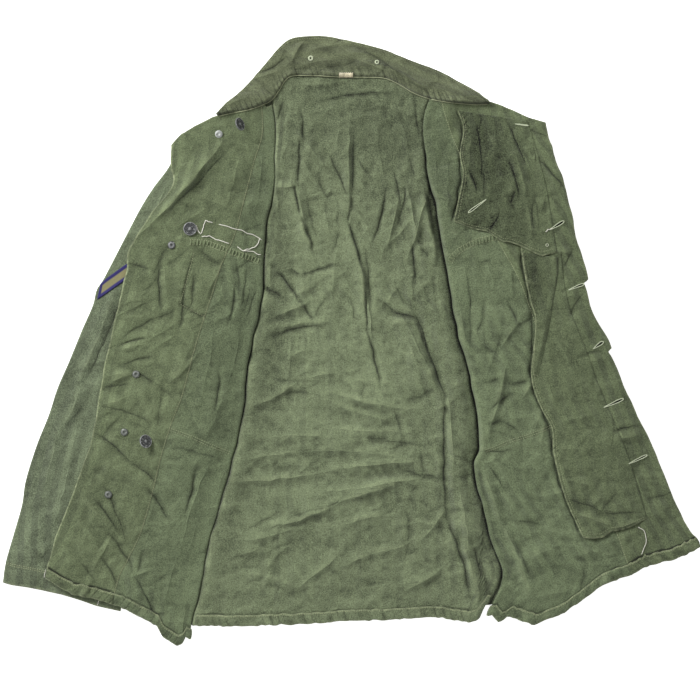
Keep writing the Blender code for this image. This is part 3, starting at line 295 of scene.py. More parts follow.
FRONT_LEFT_CREASES = table(CREASE_COLUMNS, [
    (117, 298, 140, 246, 1, 4, 1.2, 0.5), (109, 248, 112, 168, 2, 8, 1.8, 0.7),
    (127, 235, 125, 157, 1, 7, 1.4, 0.7), (125, 142, 146, 134, 0, 5, 1.2, 0.6),
    (151, 90, 157, -5, 2, 4, -1.8, 0.3), (138, 53, 153, -14, 1, 5, 1.6, 0.5),
    (173, 51, 165, 4, 1, 4, -1.4, 0.4), (195, 12, 179, -40, 2, 5, -1.2, 0.5),
    (205, 47, 218, 23, 1, 3, -1.6, 0.3), (216, 21, 239, 31, 1, 4, -1.4, 0.4),
    (221, 25, 195, -9, -1, 5, 1.6, 0.4), (169, -4, 190, -16, 0, 3, -1.2, 0.4),
    (174, -53, 195, -48, 0, 4, -1.2, 0.4), (202, -27, 177, -126, 3, 5, 2.4, 0.3),
    (195, -103, 221, -118, 0, 3, -1.6, 0.3), (208, -56, 231, -52, 0, 3, -1.6, 0.3),
    (174, -144, 205, -142, -1, 4, -2, 0.3), (169, -157, 195, -233, 2, 6, 3, 0.4),
    (195, -233, 235, -326, 3, 6, 2.8, 0.4), (179, -162, 203, -196, 1, 4, -1.6, 0.4),
    (202, -230, 250, -238, -1, 4, -1.2, 0.5), (247, -242, 289, -256, 1, 6, 1.2, 0.6),
    (276, -22, 330, -13, 1, 4, -1.6, 0.4), (273, -30, 333, -25, 1, 8, 1.4, 0.6),
    (312, -130, 380, -108, 3, 4, -2, 0.3), (315, -140, 382, -121, 3, 6, 1.8, 0.5),
    (294, -162, 359, -152, -2, 4, -2, 0.3), (299, -172, 377, -157, -2, 6, 1.6, 0.5),
    (268, -173, 299, -179, 0, 5, -1.2, 0.5), (283, -116, 322, -72, 0, 3, -1.8, 0.3),
    (252, -77, 234, -129, 1, 7, 1, 0.7), (156, 131, 195, 142, -2, 5, 1, 0.6),
    (177, 103, 187, 66, 1, 6, 1.2, 0.7), (205, 98, 213, 53, 0, 6, 1.2, 0.7),
    (273, 53, 299, 64, 0, 5, 1, 0.6), (281, 30, 304, 64, 1, 4, -1.4, 0.4),
    (325, 53, 333, 1, 1, 6, 1, 0.7), (257, 274, 281, 196, 0, 6, 1.2, 0.7),
    (263, 209, 289, 150, 1, 6, 1.2, 0.6), (312, -77, 320, -108, 0, 4, 0.8, 0.6),
    (390, -204, 442, -243, 1, 7, 1, 0.7), (377, -178, 413, -188, 1, 5, 1, 0.6),
    (325, -265, 377, -246, -1, 6, 1, 0.6), (221, -285, 273, -269, 2, 8, 1.2, 0.8),
    (211, -259, 234, -308, 1, 6, -1.2, 0.6), (377, -207, 424, -196, 1, 5, -1, 0.5),
    (208, -168, 260, -168, 2, 9, 1, 0.8), (221, -77, 247, -40, 1, 6, 1.2, 0.6),
    (273, -285, 338, -269, 2, 7, 1, 0.7), (242, -332, 286, -324, 1, 5, 1, 0.6),
    (247, 233, 278, 197, 1, 4, -3, 0.2), (249, 241, 280, 205, 1, 6, 1.8, 0.5),
    (262, 262, 270, 238, 1, 4, -1.8, 0.3), (256, 184, 247, 163, 1, 4, -2, 0.3),
    (288, 118, 276, 96, 1, 4, -2, 0.3), (232, 276, 262, 262, 1, 4, -1.8, 0.4),
    (184, -88, 206, -70, 1, 4, -2.2, 0.3), (176, -108, 200, -104, 1, 5, -2, 0.4),
])
FLAP_CREASES = table(CREASE_COLUMNS, [
    (208, 276, 237, 214, 1, 4, 2.8, 0.2), (202, 284, 231, 222, 1, 6, -3, 0.3),
    (207, 231, 219, 184, 1, 3, -3, 0.2), (213, 248, 229, 183, 1, 5, 1.6, 0.5),
    (165, 282, 169, 237, 1, 8, -3, 0.6), (169, 237, 168, 213, 1, 7, -2, 0.6),
    (238, 253, 241, 229, 1, 3, -2.4, 0.2), (153, 219, 166, 189, 1, 3, -2, 0.2),
    (209, 174, 213, 195, 1, 3, -2.2, 0.2), (239, 143, 236, 185, 1, 5, -2, 0.4),
    (254, 183, 247, 167, 1, 4, -2, 0.4), (176, 276, 200, 240, -2, 5, 1.6, 0.4),
    (233, 248, 244, 230, 0, 4, -1.4, 0.4), (247, 233, 281, 194, 1, 4, -1.6, 0.3),
    (170, 298, 169, 238, -1, 4, -1.8, 0.4), (166, 246, 174, 181, 2, 5, -1.2, 0.5),
    (150, 217, 172, 185, 1, 3, 1.4, 0.4), (202, 191, 212, 168, 0, 4, -1.4, 0.4),
    (239, 196, 244, 142, 1, 5, -1.4, 0.5), (194, 166, 180, 143, 0, 4, -3.2, 0.2),
    (185, 287, 187, 225, 1, 7, 1.4, 0.7), (228, 183, 234, 126, 1, 6, 1.2, 0.6),
    (255, 188, 260, 131, 0, 6, 1.2, 0.6), (156, 277, 153, 222, 1, 5, 1, 0.6),
    (281, -204, 328, -222, 2, 5, -2, 0.4), (328, -222, 380, -222, -1, 5, -1.8, 0.4),
    (289, -222, 341, -242, 2, 5, 2.2, 0.4), (341, -242, 382, -231, -1, 5, 1.8, 0.4),
    (273, -181, 325, -188, 1, 6, 1.2, 0.6), (268, -139, 312, -144, 1, 5, 1, 0.6),
    (255, -51, 268, -90, 1, 5, 1.2, 0.6), (247, 14, 263, -46, 2, 6, 1, 0.7),
    (273, -103, 325, -95, 0, 5, 1, 0.6), (268, -155, 289, -207, 1, 4, 1.2, 0.5),
    (231, 103, 237, 53, 0, 5, 0.8, 0.6),
])
SLEEVE_CREASES = table(CREASE_COLUMNS, [
    (-234, 214, -294, 103, 4, 5, 1.8, 0.3), (-244, 202, -304, 90, 4, 5, -1, 0.5),
    (-302, 43, -346, -53, 3, 5, -1.7, 0.4), (-309, 53, -356, -56, 3, 7, 1.6, 0.5),
    (-346, -53, -374, -116, 2, 6, 1, 0.6), (-330, 1, -364, -77, 1, 6, 0.9, 0.6),
    (-377, -103, -403, -207, 3, 7, 1.2, 0.6), (-351, -90, -369, -168, 2, 6, 0.9, 0.6),
    (-359, -142, -387, -246, 2, 7, 1, 0.6), (-411, -168, -419, -233, 1, 6, 0.8, 0.6),
    (-429, -259, -395, -274, -2, 5, 0.9, 0.5), (-434, -246, -403, -207, 2, 6, 0.7, 0.6),
    (-416, -265, -398, -285, 0, 4, -0.9, 0.4), (-387, -259, -403, -287, 1, 5, -0.9, 0.5),
    (-341, -77, -377, -129, -2, 6, -0.8, 0.6), (-320, 53, -325, 22, 0, 4, -0.9, 0.5),
])
COLLAR_CREASES = table(CREASE_COLUMNS, [
    (-60, 390, -75, 363, -1, 4, 2, 0.3), (-120, 347, -82, 368, -2, 4, -2, 0.3),
    (-130, 339, -91, 352, -1, 5, 1.6, 0.5), (-18, 386, 65, 347, -6, 5, 1.8, 0.5),
    (-52, 378, 26, 386, 3, 4, 1.2, 0.5), (8, 384, 68, 344, 2, 4, -1.4, 0.4),
    (55, 358, 117, 324, -2, 6, 1.6, 0.6), (70, 339, 104, 321, 1, 4, -1.2, 0.5),
    (120, 334, 151, 316, 0, 6, 1.4, 0.6), (-161, 303, -130, 318, 1, 5, 1.2, 0.6),
    (-114, 332, -99, 316, 0, 4, -1.2, 0.5), (-65, 360, -13, 363, 1, 5, 1, 0.6),
])
NO_CREASES = table(CREASE_COLUMNS, [(0, 0, 1, 0, 0, 1, 0, 1)])


# ---------------------------------------------------------------- curves and noise

def column(rows: Table, name: str) -> Array:
    """The x and y columns of one named edge, as points."""
    return np.stack([rows[name + "_x"], rows[name + "_y"]], axis=-1)


def read_off(rows: Table, at: Array, name: str) -> Array:
    """A named column of a table, read at given values of its first column."""
    return np.interp(at, rows[next(iter(rows))], rows[name])


def resample(points: Array, count: int) -> Array:
    """A smooth curve through the points (Catmull-Rom), read at even steps.

    Args:
        points: the points the curve passes through.
        count: how many points to read.

    Returns:
        The points read, from the first point to the last.
    """
    padded = np.concatenate([2 * points[:1] - points[1:2], points, 2 * points[-1:] - points[-2:-1]])
    place = np.linspace(0, len(points) - 1, count)
    start = np.minimum(place.astype(int), len(points) - 2)
    t = (place - start)[:, None]
    a, b, c, d = (padded[start + step] for step in range(4))
    return 0.5 * (2 * b + (c - a) * t + (2 * a - 5 * b + 4 * c - d) * t ** 2
                  + (3 * b - a - 3 * c + d) * t ** 3)


def curves(rows: Table, names: str, count: int) -> list[Array]:
    """Smooth curves down the named edges of a table of sections."""
    return [resample(column(rows, name), count) for name in names.split()]


def unit(vectors: Array) -> Array:
    """Vectors of length one."""
    return vectors / np.maximum(np.linalg.norm(vectors, axis=-1, keepdims=True), 1e-9)


def even(steps: int) -> Array:
    """Shares from 0 to 1 in a number of even steps."""
    return np.linspace(0, 1, steps + 1)


def across(first: Array, last: Array, shares: Array) -> Array:
    """Points at the given shares of the way from one edge to the other, for each row."""
    shares = np.asarray(shares)[None, :, None]
    return first[:, None] * (1 - shares) + last[:, None] * shares


def smooth_step(value: Array) -> Array:
    """Eases from 0 to 1."""
    value = np.clip(value, 0, 1)
    return value * value * (3 - 2 * value)


def bell(value: Array) -> Array:
    """1 at nothing, falling off to both sides as a bell."""
    return np.exp(-value ** 2)


def with_height(plan: Array, height: Array) -> Array:
    """Plan points and their heights as one grid of points."""
    return np.concatenate([plan, height[..., None]], axis=-1)


def between(a: Array, b: Array, c: Array, d: Array, s: Array, t: Array) -> Array:
    """The value between four corners, at share s from a to b and from c to d, and t from a to c."""
    return (a * (1 - s) + b * s) * (1 - t) + (c * (1 - s) + d * s) * t


def value_noise(x: Array, y: Array, seed: int) -> Array:
    """Smooth noise from 0 to 1: a wrapped lattice of seeded numbers, eased between its points.

    Args:
        x, y: plan coordinates, in steps of the lattice.
        seed: which numbers.

    Returns:
        The noise at each point.
    """
    lattice = np.random.default_rng(seed).random((LATTICE, LATTICE))
    i, j = np.floor(x).astype(int), np.floor(y).astype(int)
    corners = (lattice[(j + up) % LATTICE, (i + over) % LATTICE] for up in (0, 1) for over in (0, 1))
    return between(*corners, smooth_step(x - i), smooth_step(y - j))


def line_noise(along: Array, seed: int) -> Array:
    """Smooth noise from 0 to 1 along one direction."""
    return value_noise(along, 0 * along, seed)


def wavy(along: Array) -> Array:
    """Small uneven waves from -1 to 1."""
    return line_noise(along / 11, 63) + line_noise(along / 5, 64) - 1


def turned_axes(x: Array, y: Array, degrees: float) -> tuple[Array, Array]:
    """Plan coordinates along a direction and across it."""
    cosine, sine = math.cos(math.radians(degrees)), math.sin(math.radians(degrees))
    return x * cosine + y * sine, y * cosine - x * sine


def neighbours(values: Array, combine: Callable[[Array, Array], Array]) -> Array:
    """Combines each cell of a map with the next ones along both axes, keeping its rim.

    Args:
        values: the map.
        combine: makes one map of two.

    Returns:
        The combined map.
    """
    for axis in (0, 1):
        padded = np.concatenate([np.take(values, [0], axis), values, np.take(values, [-1], axis)], axis)
        count = values.shape[axis]
        beside_it = (np.take(padded, range(start, start + count), axis) for start in (0, 2))
        values = combine(values, combine(*beside_it))
    return values


def mean(first: Array, second: Array) -> Array:
    """The mean of two maps."""
    return (first + second) / 2


def blurred(values: Array, passes: int) -> Array:
    """A map softened over a number of cells.

    Args:
        values: the map.
        passes: how many cells.

    Returns:
        The softened map.
    """
    for _ in range(passes):
        values = neighbours(values, mean)
    return values


def grown(values: Array, cells: int) -> Array:
    """A map whose high places are widened by a number of cells.

    Args:
        values: the map.
        cells: how many.

    Returns:
        The widened map.
    """
    for _ in range(cells):
        values = neighbours(values, np.maximum)
    return values


# ---------------------------------------------------------------- relief of the cloth

@dataclass(frozen=True)
class Crumple:
    """Small folds all over a stretch of cloth: ridged noise, drawn out in one direction."""

    seed: int
    cell: float
    height: float
    angle: float = 0.0
    stretch: float = 1.0

    def relief(self, x: Array, y: Array) -> Array:
        """Height of these folds: noise folded at its middle gives ridges.

        Args:
            x, y: plan points.

        Returns:
            The height at each point.
        """
        along, aside = turned_axes(x, y, self.angle)
        drift = value_noise(along / (2.3 * self.cell), aside / (2.3 * self.cell), self.seed + 1)
        noise = value_noise(along / (self.cell * self.stretch) + 0.6 * drift,
                            aside / self.cell + 1.2 * drift, self.seed)
        return self.height * (1 - np.abs(2 * noise - 1)) ** 1.4


@dataclass(frozen=True)
class Facets:
    """Crumpled cloth: soft hills that meet in sharp lines, drawn out in one direction."""

    seed: int
    cell: float
    height: float
    angle: float = 0.0
    stretch: float = 2.0
    from_y: float = -900.0
    to_y: float = 900.0
    ease: float = 70.0

    def relief(self, x: Array, y: Array) -> Array:
        """One less the squared distance to the nearest point of a jittered, warped lattice.

        Args:
            x, y: plan points.

        Returns:
            The height at each point.
        """
        drift = value_noise(x / (2.2 * self.cell), y / (2.2 * self.cell), self.seed + 1)
        along, aside = turned_axes(x, y, self.angle)
        u, v = along / (self.cell * self.stretch) + 0.8 * drift, aside / self.cell + 1.5 * drift
        spots = np.random.default_rng(self.seed).random((3, LATTICE, LATTICE))
        i, j = np.floor(u).astype(int), np.floor(v).astype(int)
        nearest = np.full(x.shape, 9.0)
        for di in (-1, 0, 1):
            for dj in (-1, 0, 1):
                jitter_u, jitter_v, level = spots[:, (j + dj) % LATTICE, (i + di) % LATTICE]
                apart = (u - i - di - jitter_u) ** 2 + (v - j - dj - jitter_v) ** 2
                nearest = np.minimum(nearest, apart + 0.35 * level)
        ease = smooth_step((y - self.from_y) / self.ease) * smooth_step((self.to_y - y) / self.ease)
        return self.height * (0.6 - np.minimum(nearest, 1.2)) * ease


@dataclass(frozen=True)
class Seam:
    """A stitched line on a panel, with a groove and puckers across it."""

    points: tuple[tuple[float, float], ...]
    groove: float = 0.5
    width: float = 1.8
    pucker: float = 0.9
    reach: float = 6.0
    pitch: float = 4.5
    rows: tuple[float, ...] = (0.0,)
    gathered: bool = False

    def relief(self, x: Array, y: Array) -> Array:
        """Height across the seam: a bell-shaped groove, and noise along the line that fades aside.

        Args:
            x, y: plan points.

        Returns:
            The height at each point.
        """
        apart, along, run = np.full(x.shape, 1e6), np.zeros(x.shape), 0.0
        for (x1, y1), (x2, y2) in zip(self.points[:-1], self.points[1:]):
            length = math.hypot(x2 - x1, y2 - y1)
            share = np.clip(((x - x1) * (x2 - x1) + (y - y1) * (y2 - y1)) / length ** 2, 0, 1)
            distance = np.hypot(x - x1 - share * (x2 - x1), y - y1 - share * (y2 - y1))
            along = np.where(distance < apart, run + share * length, along)
            apart = np.minimum(apart, distance)
            run += length
        pucker = value_noise(along / self.pitch, apart / (3 * self.pitch), 71)
        return self.pucker * pucker * bell(apart / self.reach) - self.groove * bell(apart / self.width)


def crease_relief(creases: Table, x: Array, y: Array) -> tuple[Array, Lines]:
    """Height of all creases of a table, and where their lines run.

    Across a bowed line, each is half a broad bell and half a sharp crest, and it steps down on
    the side away from the window; along the line it swells and fades.

    Args:
        creases: the table of creases.
        x, y: plan points.

    Returns:
        The sum of ridges and troughs, and the masks "line", the distance to the strongest line near
        by, signed by its side, and "mark", that line's strength there; the finish paints them as painted
        shade along troughs and painted highlight along ridges.
    """
    waver = value_noise(x / 13, y / 13, 91) - 0.5
    height, lines = np.zeros_like(x), no_lines(x.shape)
    for x1, y1, x2, y2, bend, width, tall, soft in zip(*creases.values()):
        length = math.hypot(x2 - x1, y2 - y1)
        ux, uy = (x2 - x1) / length, (y2 - y1) / length
        along = ((x - x1) * ux + (y - y1) * uy) / length
        near = np.clip(along, 0, 1)
        aside = (y - y1) * ux - (x - x1) * uy - bend * 4 * near * (1 - near) + LINE_WAVER * waver
        distance = np.hypot(aside, (along - near) * length)
        apart = distance / width
        swell = np.sin(np.pi * np.clip(near, 0.03, 0.97)) ** 0.6
        sharp = np.exp(soft - np.sqrt((apart / CRISPNESS) ** 2 + soft ** 2))
        lit = 1.0 if uy * WINDOW[0] < ux * WINDOW[1] else -1.0
        step = lit * np.tanh(aside / (0.45 * width)) * bell(apart / 2.4)
        height += DEPTH_GAIN * swell * (tall * (0.5 * sharp + 0.5 * bell(apart / 1.6))
                                        + STEP_SHARE * abs(tall) * step)
        draw_over(lines, aside, tall * swell * bell(distance / LINE_REACH))
    return height, lines


def no_lines(shape: tuple[int, ...]) -> Lines:
    """The masks of a sheet that has no line yet."""
    return {"line": np.full(shape, LINE_REACH * 3), "mark": np.zeros(shape)}


def draw_over(lines: Lines, line: Array, strength: Array) -> None:
    """Puts further lines among the masks of a sheet, where they are the stronger ones.

    Args:
        lines: the masks, changed in place.
        line: signed distance to the new lines.
        strength: their strength.
    """
    stronger = np.abs(strength) > np.abs(lines["mark"])
    lines["line"] = np.where(stronger, line, lines["line"])
    lines["mark"] = np.where(stronger, strength, lines["mark"])


def draw_ribs(lines: Lines, along: Array, aside: Array, pitch: float, reach: float, strength: float,
              seed: int) -> None:
    """Draws the puckers across a sewn line, as dark lines of painted shade at uneven steps along it.

    Args:
        lines: the masks they are drawn into.
        along, aside: distance run along the sewn line, and distance from it.
        pitch: mean distance from one pucker to the next.
        reach: how far they reach to either side.
        strength: depth of the deepest; it is nothing half-way between two lines.
        seed: which puckers.
    """
    place = along / pitch + 1.2 * line_noise(along / (2.5 * pitch), seed)
    apart = place - np.rint(place)
    uneven = value_noise(np.rint(place) * 0.73, aside / (1.5 * reach), seed + 1)
    mark = -strength * (0.2 + 1.3 * uneven) * bell(aside / reach) * np.cos(np.pi * apart) ** 2
    draw_over(lines, pitch * apart, mark * bell(pitch * apart / LINE_REACH))


def beside(points: Array, away: float, width: float, height: float, count: int = 9) -> Table:
    """Creases that run along a line through the points, each over the start of the next.

    Args:
        points: the line.
        away: distance from it towards lower x.
        width, height: those of each crease.
        count: how many.

    Returns:
        A table of creases.
    """
    line = resample(points, 2 * count + 2) - np.array([away, 0.0])
    return table(CREASE_COLUMNS, [(*start, *end, 0, width, height, 0.3)
                                  for start, end in zip(line[:-2:2], line[3::2])])


def scattered(seed: int, count: int, box: tuple[float, float, float, float], angle: float,
              spread: float, tall: float = 1.0) -> Table:
    """Small seeded creases between the listed ones.

    Args:
        seed: which creases.
        count: how many.
        box: the stretch of the plan they start in, as low x, low y, high x, high y.
        angle, spread: their mean direction and how far they turn from it, in degrees.
        tall: a gain on their heights.

    Returns:
        A table of creases.
    """
    random = np.random.default_rng(seed)
    x, y = random.uniform(box[0], box[2], count), random.uniform(box[1], box[3], count)
    turn = np.radians(angle + random.normal(0, spread, count))
    length = random.uniform(18, 62, count)
    height = random.uniform(0.5, 1.3, count) * random.choice([1.0, -1.0], count) * tall
    return table(CREASE_COLUMNS, np.stack([
        x, y, x + length * np.cos(turn), y + length * np.sin(turn), random.uniform(-4, 4, count),
        random.uniform(2.6, 5.5, count), height, random.uniform(0.2, 0.6, count)], -1))


def joined(*tables: Table) -> Table:
    """Tables of creases as one."""
    return {name: np.concatenate([part[name] for part in tables]) for name in tables[0]}


@dataclass(frozen=True)
class Relief:
    """All that stands off one panel: creases, crumple and seams, over a raised ground."""

    creases: Table
    crumples: tuple[Union[Crumple, Facets], ...] = ()
    seams: tuple[Seam, ...] = ()
    ground: float = 1.0
    floor: float = -0.3

    def lie(self, plan: Array) -> tuple[Array, Lines]:
        """The relief at plan points, never deeper than its floor, and the masks of its lines.

        Args:
            plan: plan points.

        Returns:
            The height at each point, and the masks.
        """
        x, y = plan[..., 0], plan[..., 1]
        creases, lines = crease_relief(self.creases, x, y)
        total = self.ground + creases
        for part in self.crumples + self.seams:
            total = total + part.relief(x, y)
        return self.floor + np.logaddexp(0, 2.5 * (total - self.floor)) / 2.5, lines


# ---------------------------------------------------------------- height maps

class HeightMap:
    """The highest and the lowest cloth over each cell of the table."""

    def __init__(self, cell: float = 2.0) -> None:
        """Starts an empty map with cells of the given side.

        Args:
            cell: side of a cell.
        """
        self.cell = cell
        columns, rows = (2 * MAP_HALF / cell).astype(int) + 1
        self.top = np.full((rows, columns), -np.inf)
        self.low = np.full((rows, columns), np.inf)

    def add_points(self, points: Array) -> None:
        """Raises the top and lowers the bottom to the given points.

        Args:
            points: points in space.
        """
        points = points.reshape(-1, 3)
        place = np.rint((points[:, :2] + MAP_HALF) / self.cell).astype(int)
        index = place[:, 1] * self.top.shape[1] + place[:, 0]
        np.maximum.at(self.top.reshape(-1), index, points[:, 2])
        np.minimum.at(self.low.reshape(-1), index, points[:, 2])

    def add_triangles(self, corners: Array) -> None:
        """Adds triangles, each sampled at even shares of its corners.

        Args:
            corners: three points for each triangle.
        """
        longest = np.linalg.norm(corners - np.roll(corners, 1, axis=1), axis=-1).max(axis=1)
        classes = 2 ** np.ceil(np.log2(longest / (0.7 * self.cell) + 1)).astype(int)
        for steps in np.unique(classes):
            first, second = np.meshgrid(np.arange(steps + 1), np.arange(steps + 1))
            keep = first + second <= steps
            shares = np.stack([first[keep], second[keep], steps - first[keep] - second[keep]], -1) / steps
            self.add_points(shares @ corners[classes == steps])

    def add_cloth(self, *cloths: "Cloth") -> None:
        """Adds the upper faces of sheets, sampled at and half-way between their points.

        Args:
            *cloths: the sheets.
        """
        for cloth in cloths:
            grid = cloth.face()
            for s in even(2):
                for t in even(2):
                    self.add_points(between(grid[:-1, :-1], grid[:-1, 1:], grid[1:, :-1], grid[1:, 1:], s, t))

    def read(self, heights: Array, plan: Array) -> Array:
        """A map's value at plan points, between its four nearest cells.

        Args:
            heights: the map.
            plan: where it is read.

        Returns:
            The value at each point.
        """
        u, v = np.moveaxis((plan[..., :2] + MAP_HALF) / self.cell, -1, 0)
        rows, columns = heights.shape
        u, v = np.clip(u, 0, columns - 1.001), np.clip(v, 0, rows - 1.001)
        i, j = u.astype(int), v.astype(int)
        corners = (heights[j + up, i + over] for up in (0, 1) for over in (0, 1))
        return between(*corners, u - i, v - j)

    def filled(self, heights: Array, reach: int = 14) -> Array:
        """A map carried on past its rim: empty cells take the mean of their known neighbours.

        Args:
            heights: the map.
            reach: how many cells it is carried on.

        Returns:
            The map without an empty cell.
        """
        heights = heights.copy()
        for _ in range(reach):
            known = np.isfinite(heights)
            total, count = np.zeros(heights.shape), np.zeros(heights.shape)
            for axis, way in ((0, -1), (0, 1), (1, -1), (1, 1)):
                moved = np.roll(heights, way, axis)
                real = np.isfinite(moved)
                total += np.where(real, moved, 0)
                count += real
            heights = np.where(known | (count == 0), heights, total / np.maximum(count, 1))
        return np.where(np.isfinite(heights), heights, 0.0)

    def top_at(self, plan: Array, cells: int = 1) -> Array:
        """The highest cloth around each plan point, far below the table where there is none."""
        return self.read(grown(np.where(np.isfinite(self.top), self.top, -50.0), cells), plan)

    def surface_at(self, plan: Array) -> Array:
        """The top of the cloth at each plan point, carried on past its rim."""
        return self.read(self.filled(self.top, 6), plan)

    def under(self, plan: Array, height: Array, half: float = SHEET / 2) -> Array:
        """Heights of a sheet, raised softly over the pile where it would touch."""
        lift = np.maximum(self.top_at(plan) + GAP + half - height, 0)
        return height + blurred(grown(lift, 3), 3)

    def sewn(self, plan: Array, height: Array, down: Array, thickness: float = SHEET) -> tuple[Array, Array]:
        """Points of a sheet that is brought down on the pile, and how thin it is there.

        Args:
            plan, height: where it lies while it is loose.
            down: 1 where it is sewn down, 0 where it is loose.
            thickness: its own.

        Returns:
            The points, and the gain on the thickness.
        """
        close = self.surface_at(plan) + FEATHER * thickness / 2 + SEWN_GAP
        return with_height(plan, height * (1 - down) + close * down), 1 - (1 - FEATHER) * down


class Skin:
    """The upper and the lower side of a solid of the frame, as soft height maps."""

    def __init__(self, node: str, soften: int = 2) -> None:
        """Reads one node of the frame and softens its facets over a few cells.

        Args:
            node: the node's name.
            soften: how many cells.
        """
        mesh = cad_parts[node].data
        mesh.calc_loop_triangles()
        points = np.array([vertex.co[:] for vertex in mesh.vertices])
        corners = np.array([triangle.vertices[:] for triangle in mesh.loop_triangles])
        self.map = HeightMap(SKIN_CELL)
        self.map.add_triangles(points[corners] / MM)
        self.top, self.low = (blurred(self.map.filled(side), soften)
                              for side in (self.map.top, self.map.low))

    def upper_middle(self, plan: Array) -> Array:
        """The middle of the solid's upper wall."""
        return self.map.read(self.top, plan) - SOLID_HALF

    def lower_middle(self, plan: Array) -> Array:
        """The middle of the solid's lower wall."""
        return self.map.read(self.low, plan) + SOLID_HALF


# ---------------------------------------------------------------- meshes

def grid_normals(middle: Array, closed: bool = False) -> Array:
    """Normals of a grid surface, from its slopes along both grid directions.

    Args:
        middle: the grid of points.
        closed: whether its last column meets its first.

    Returns:
        A normal for each point.
    """
    wide = np.concatenate([middle[:, -1:], middle, middle[:, :1]], axis=1) if closed else middle
    along_row = np.gradient(wide, axis=1)
    along_row = along_row[:, 1:-1] if closed else along_row
    return unit(np.cross(along_row, np.gradient(middle, axis=0)))


def patch_faces(rows: int, columns: int, closed: bool) -> Array:
    """Four-sided faces of a grid of points.

    Args:
        rows, columns: the size of the grid.
        closed: whether its last column meets its first.

    Returns:
        The faces, as four point numbers.
    """
    index = np.arange(rows * columns).reshape(rows, columns)
    if closed:
        index = np.concatenate([index, index[:, :1]], axis=1)
    return np.stack([index[:-1, :-1], index[:-1, 1:], index[1:, 1:], index[1:, :-1]], -1).reshape(-1, 4)


def arc_lengths(grid: Array, axis: int) -> Array:
    """Distance run along each grid line, from its first point.

    Args:
        grid: the grid of points.
        axis: 0 runs down the columns, 1 along the rows.

    Returns:
        The distance at each point.
    """
    steps = np.linalg.norm(np.diff(grid, axis=axis), axis=-1)
    start = np.zeros_like(np.take(steps, [0], axis))
    return np.concatenate([start, np.cumsum(steps, axis=axis)], axis=axis)


class Side(Enum):
    """The wearer's side."""

    RIGHT = "right"
    LEFT = "left"


class Edge(Enum):
    """A border of a grid."""

    FIRST_ROW = "first row"
    LAST_ROW = "last row"
    FIRST_COLUMN = "first column"
    LAST_COLUMN = "last column"


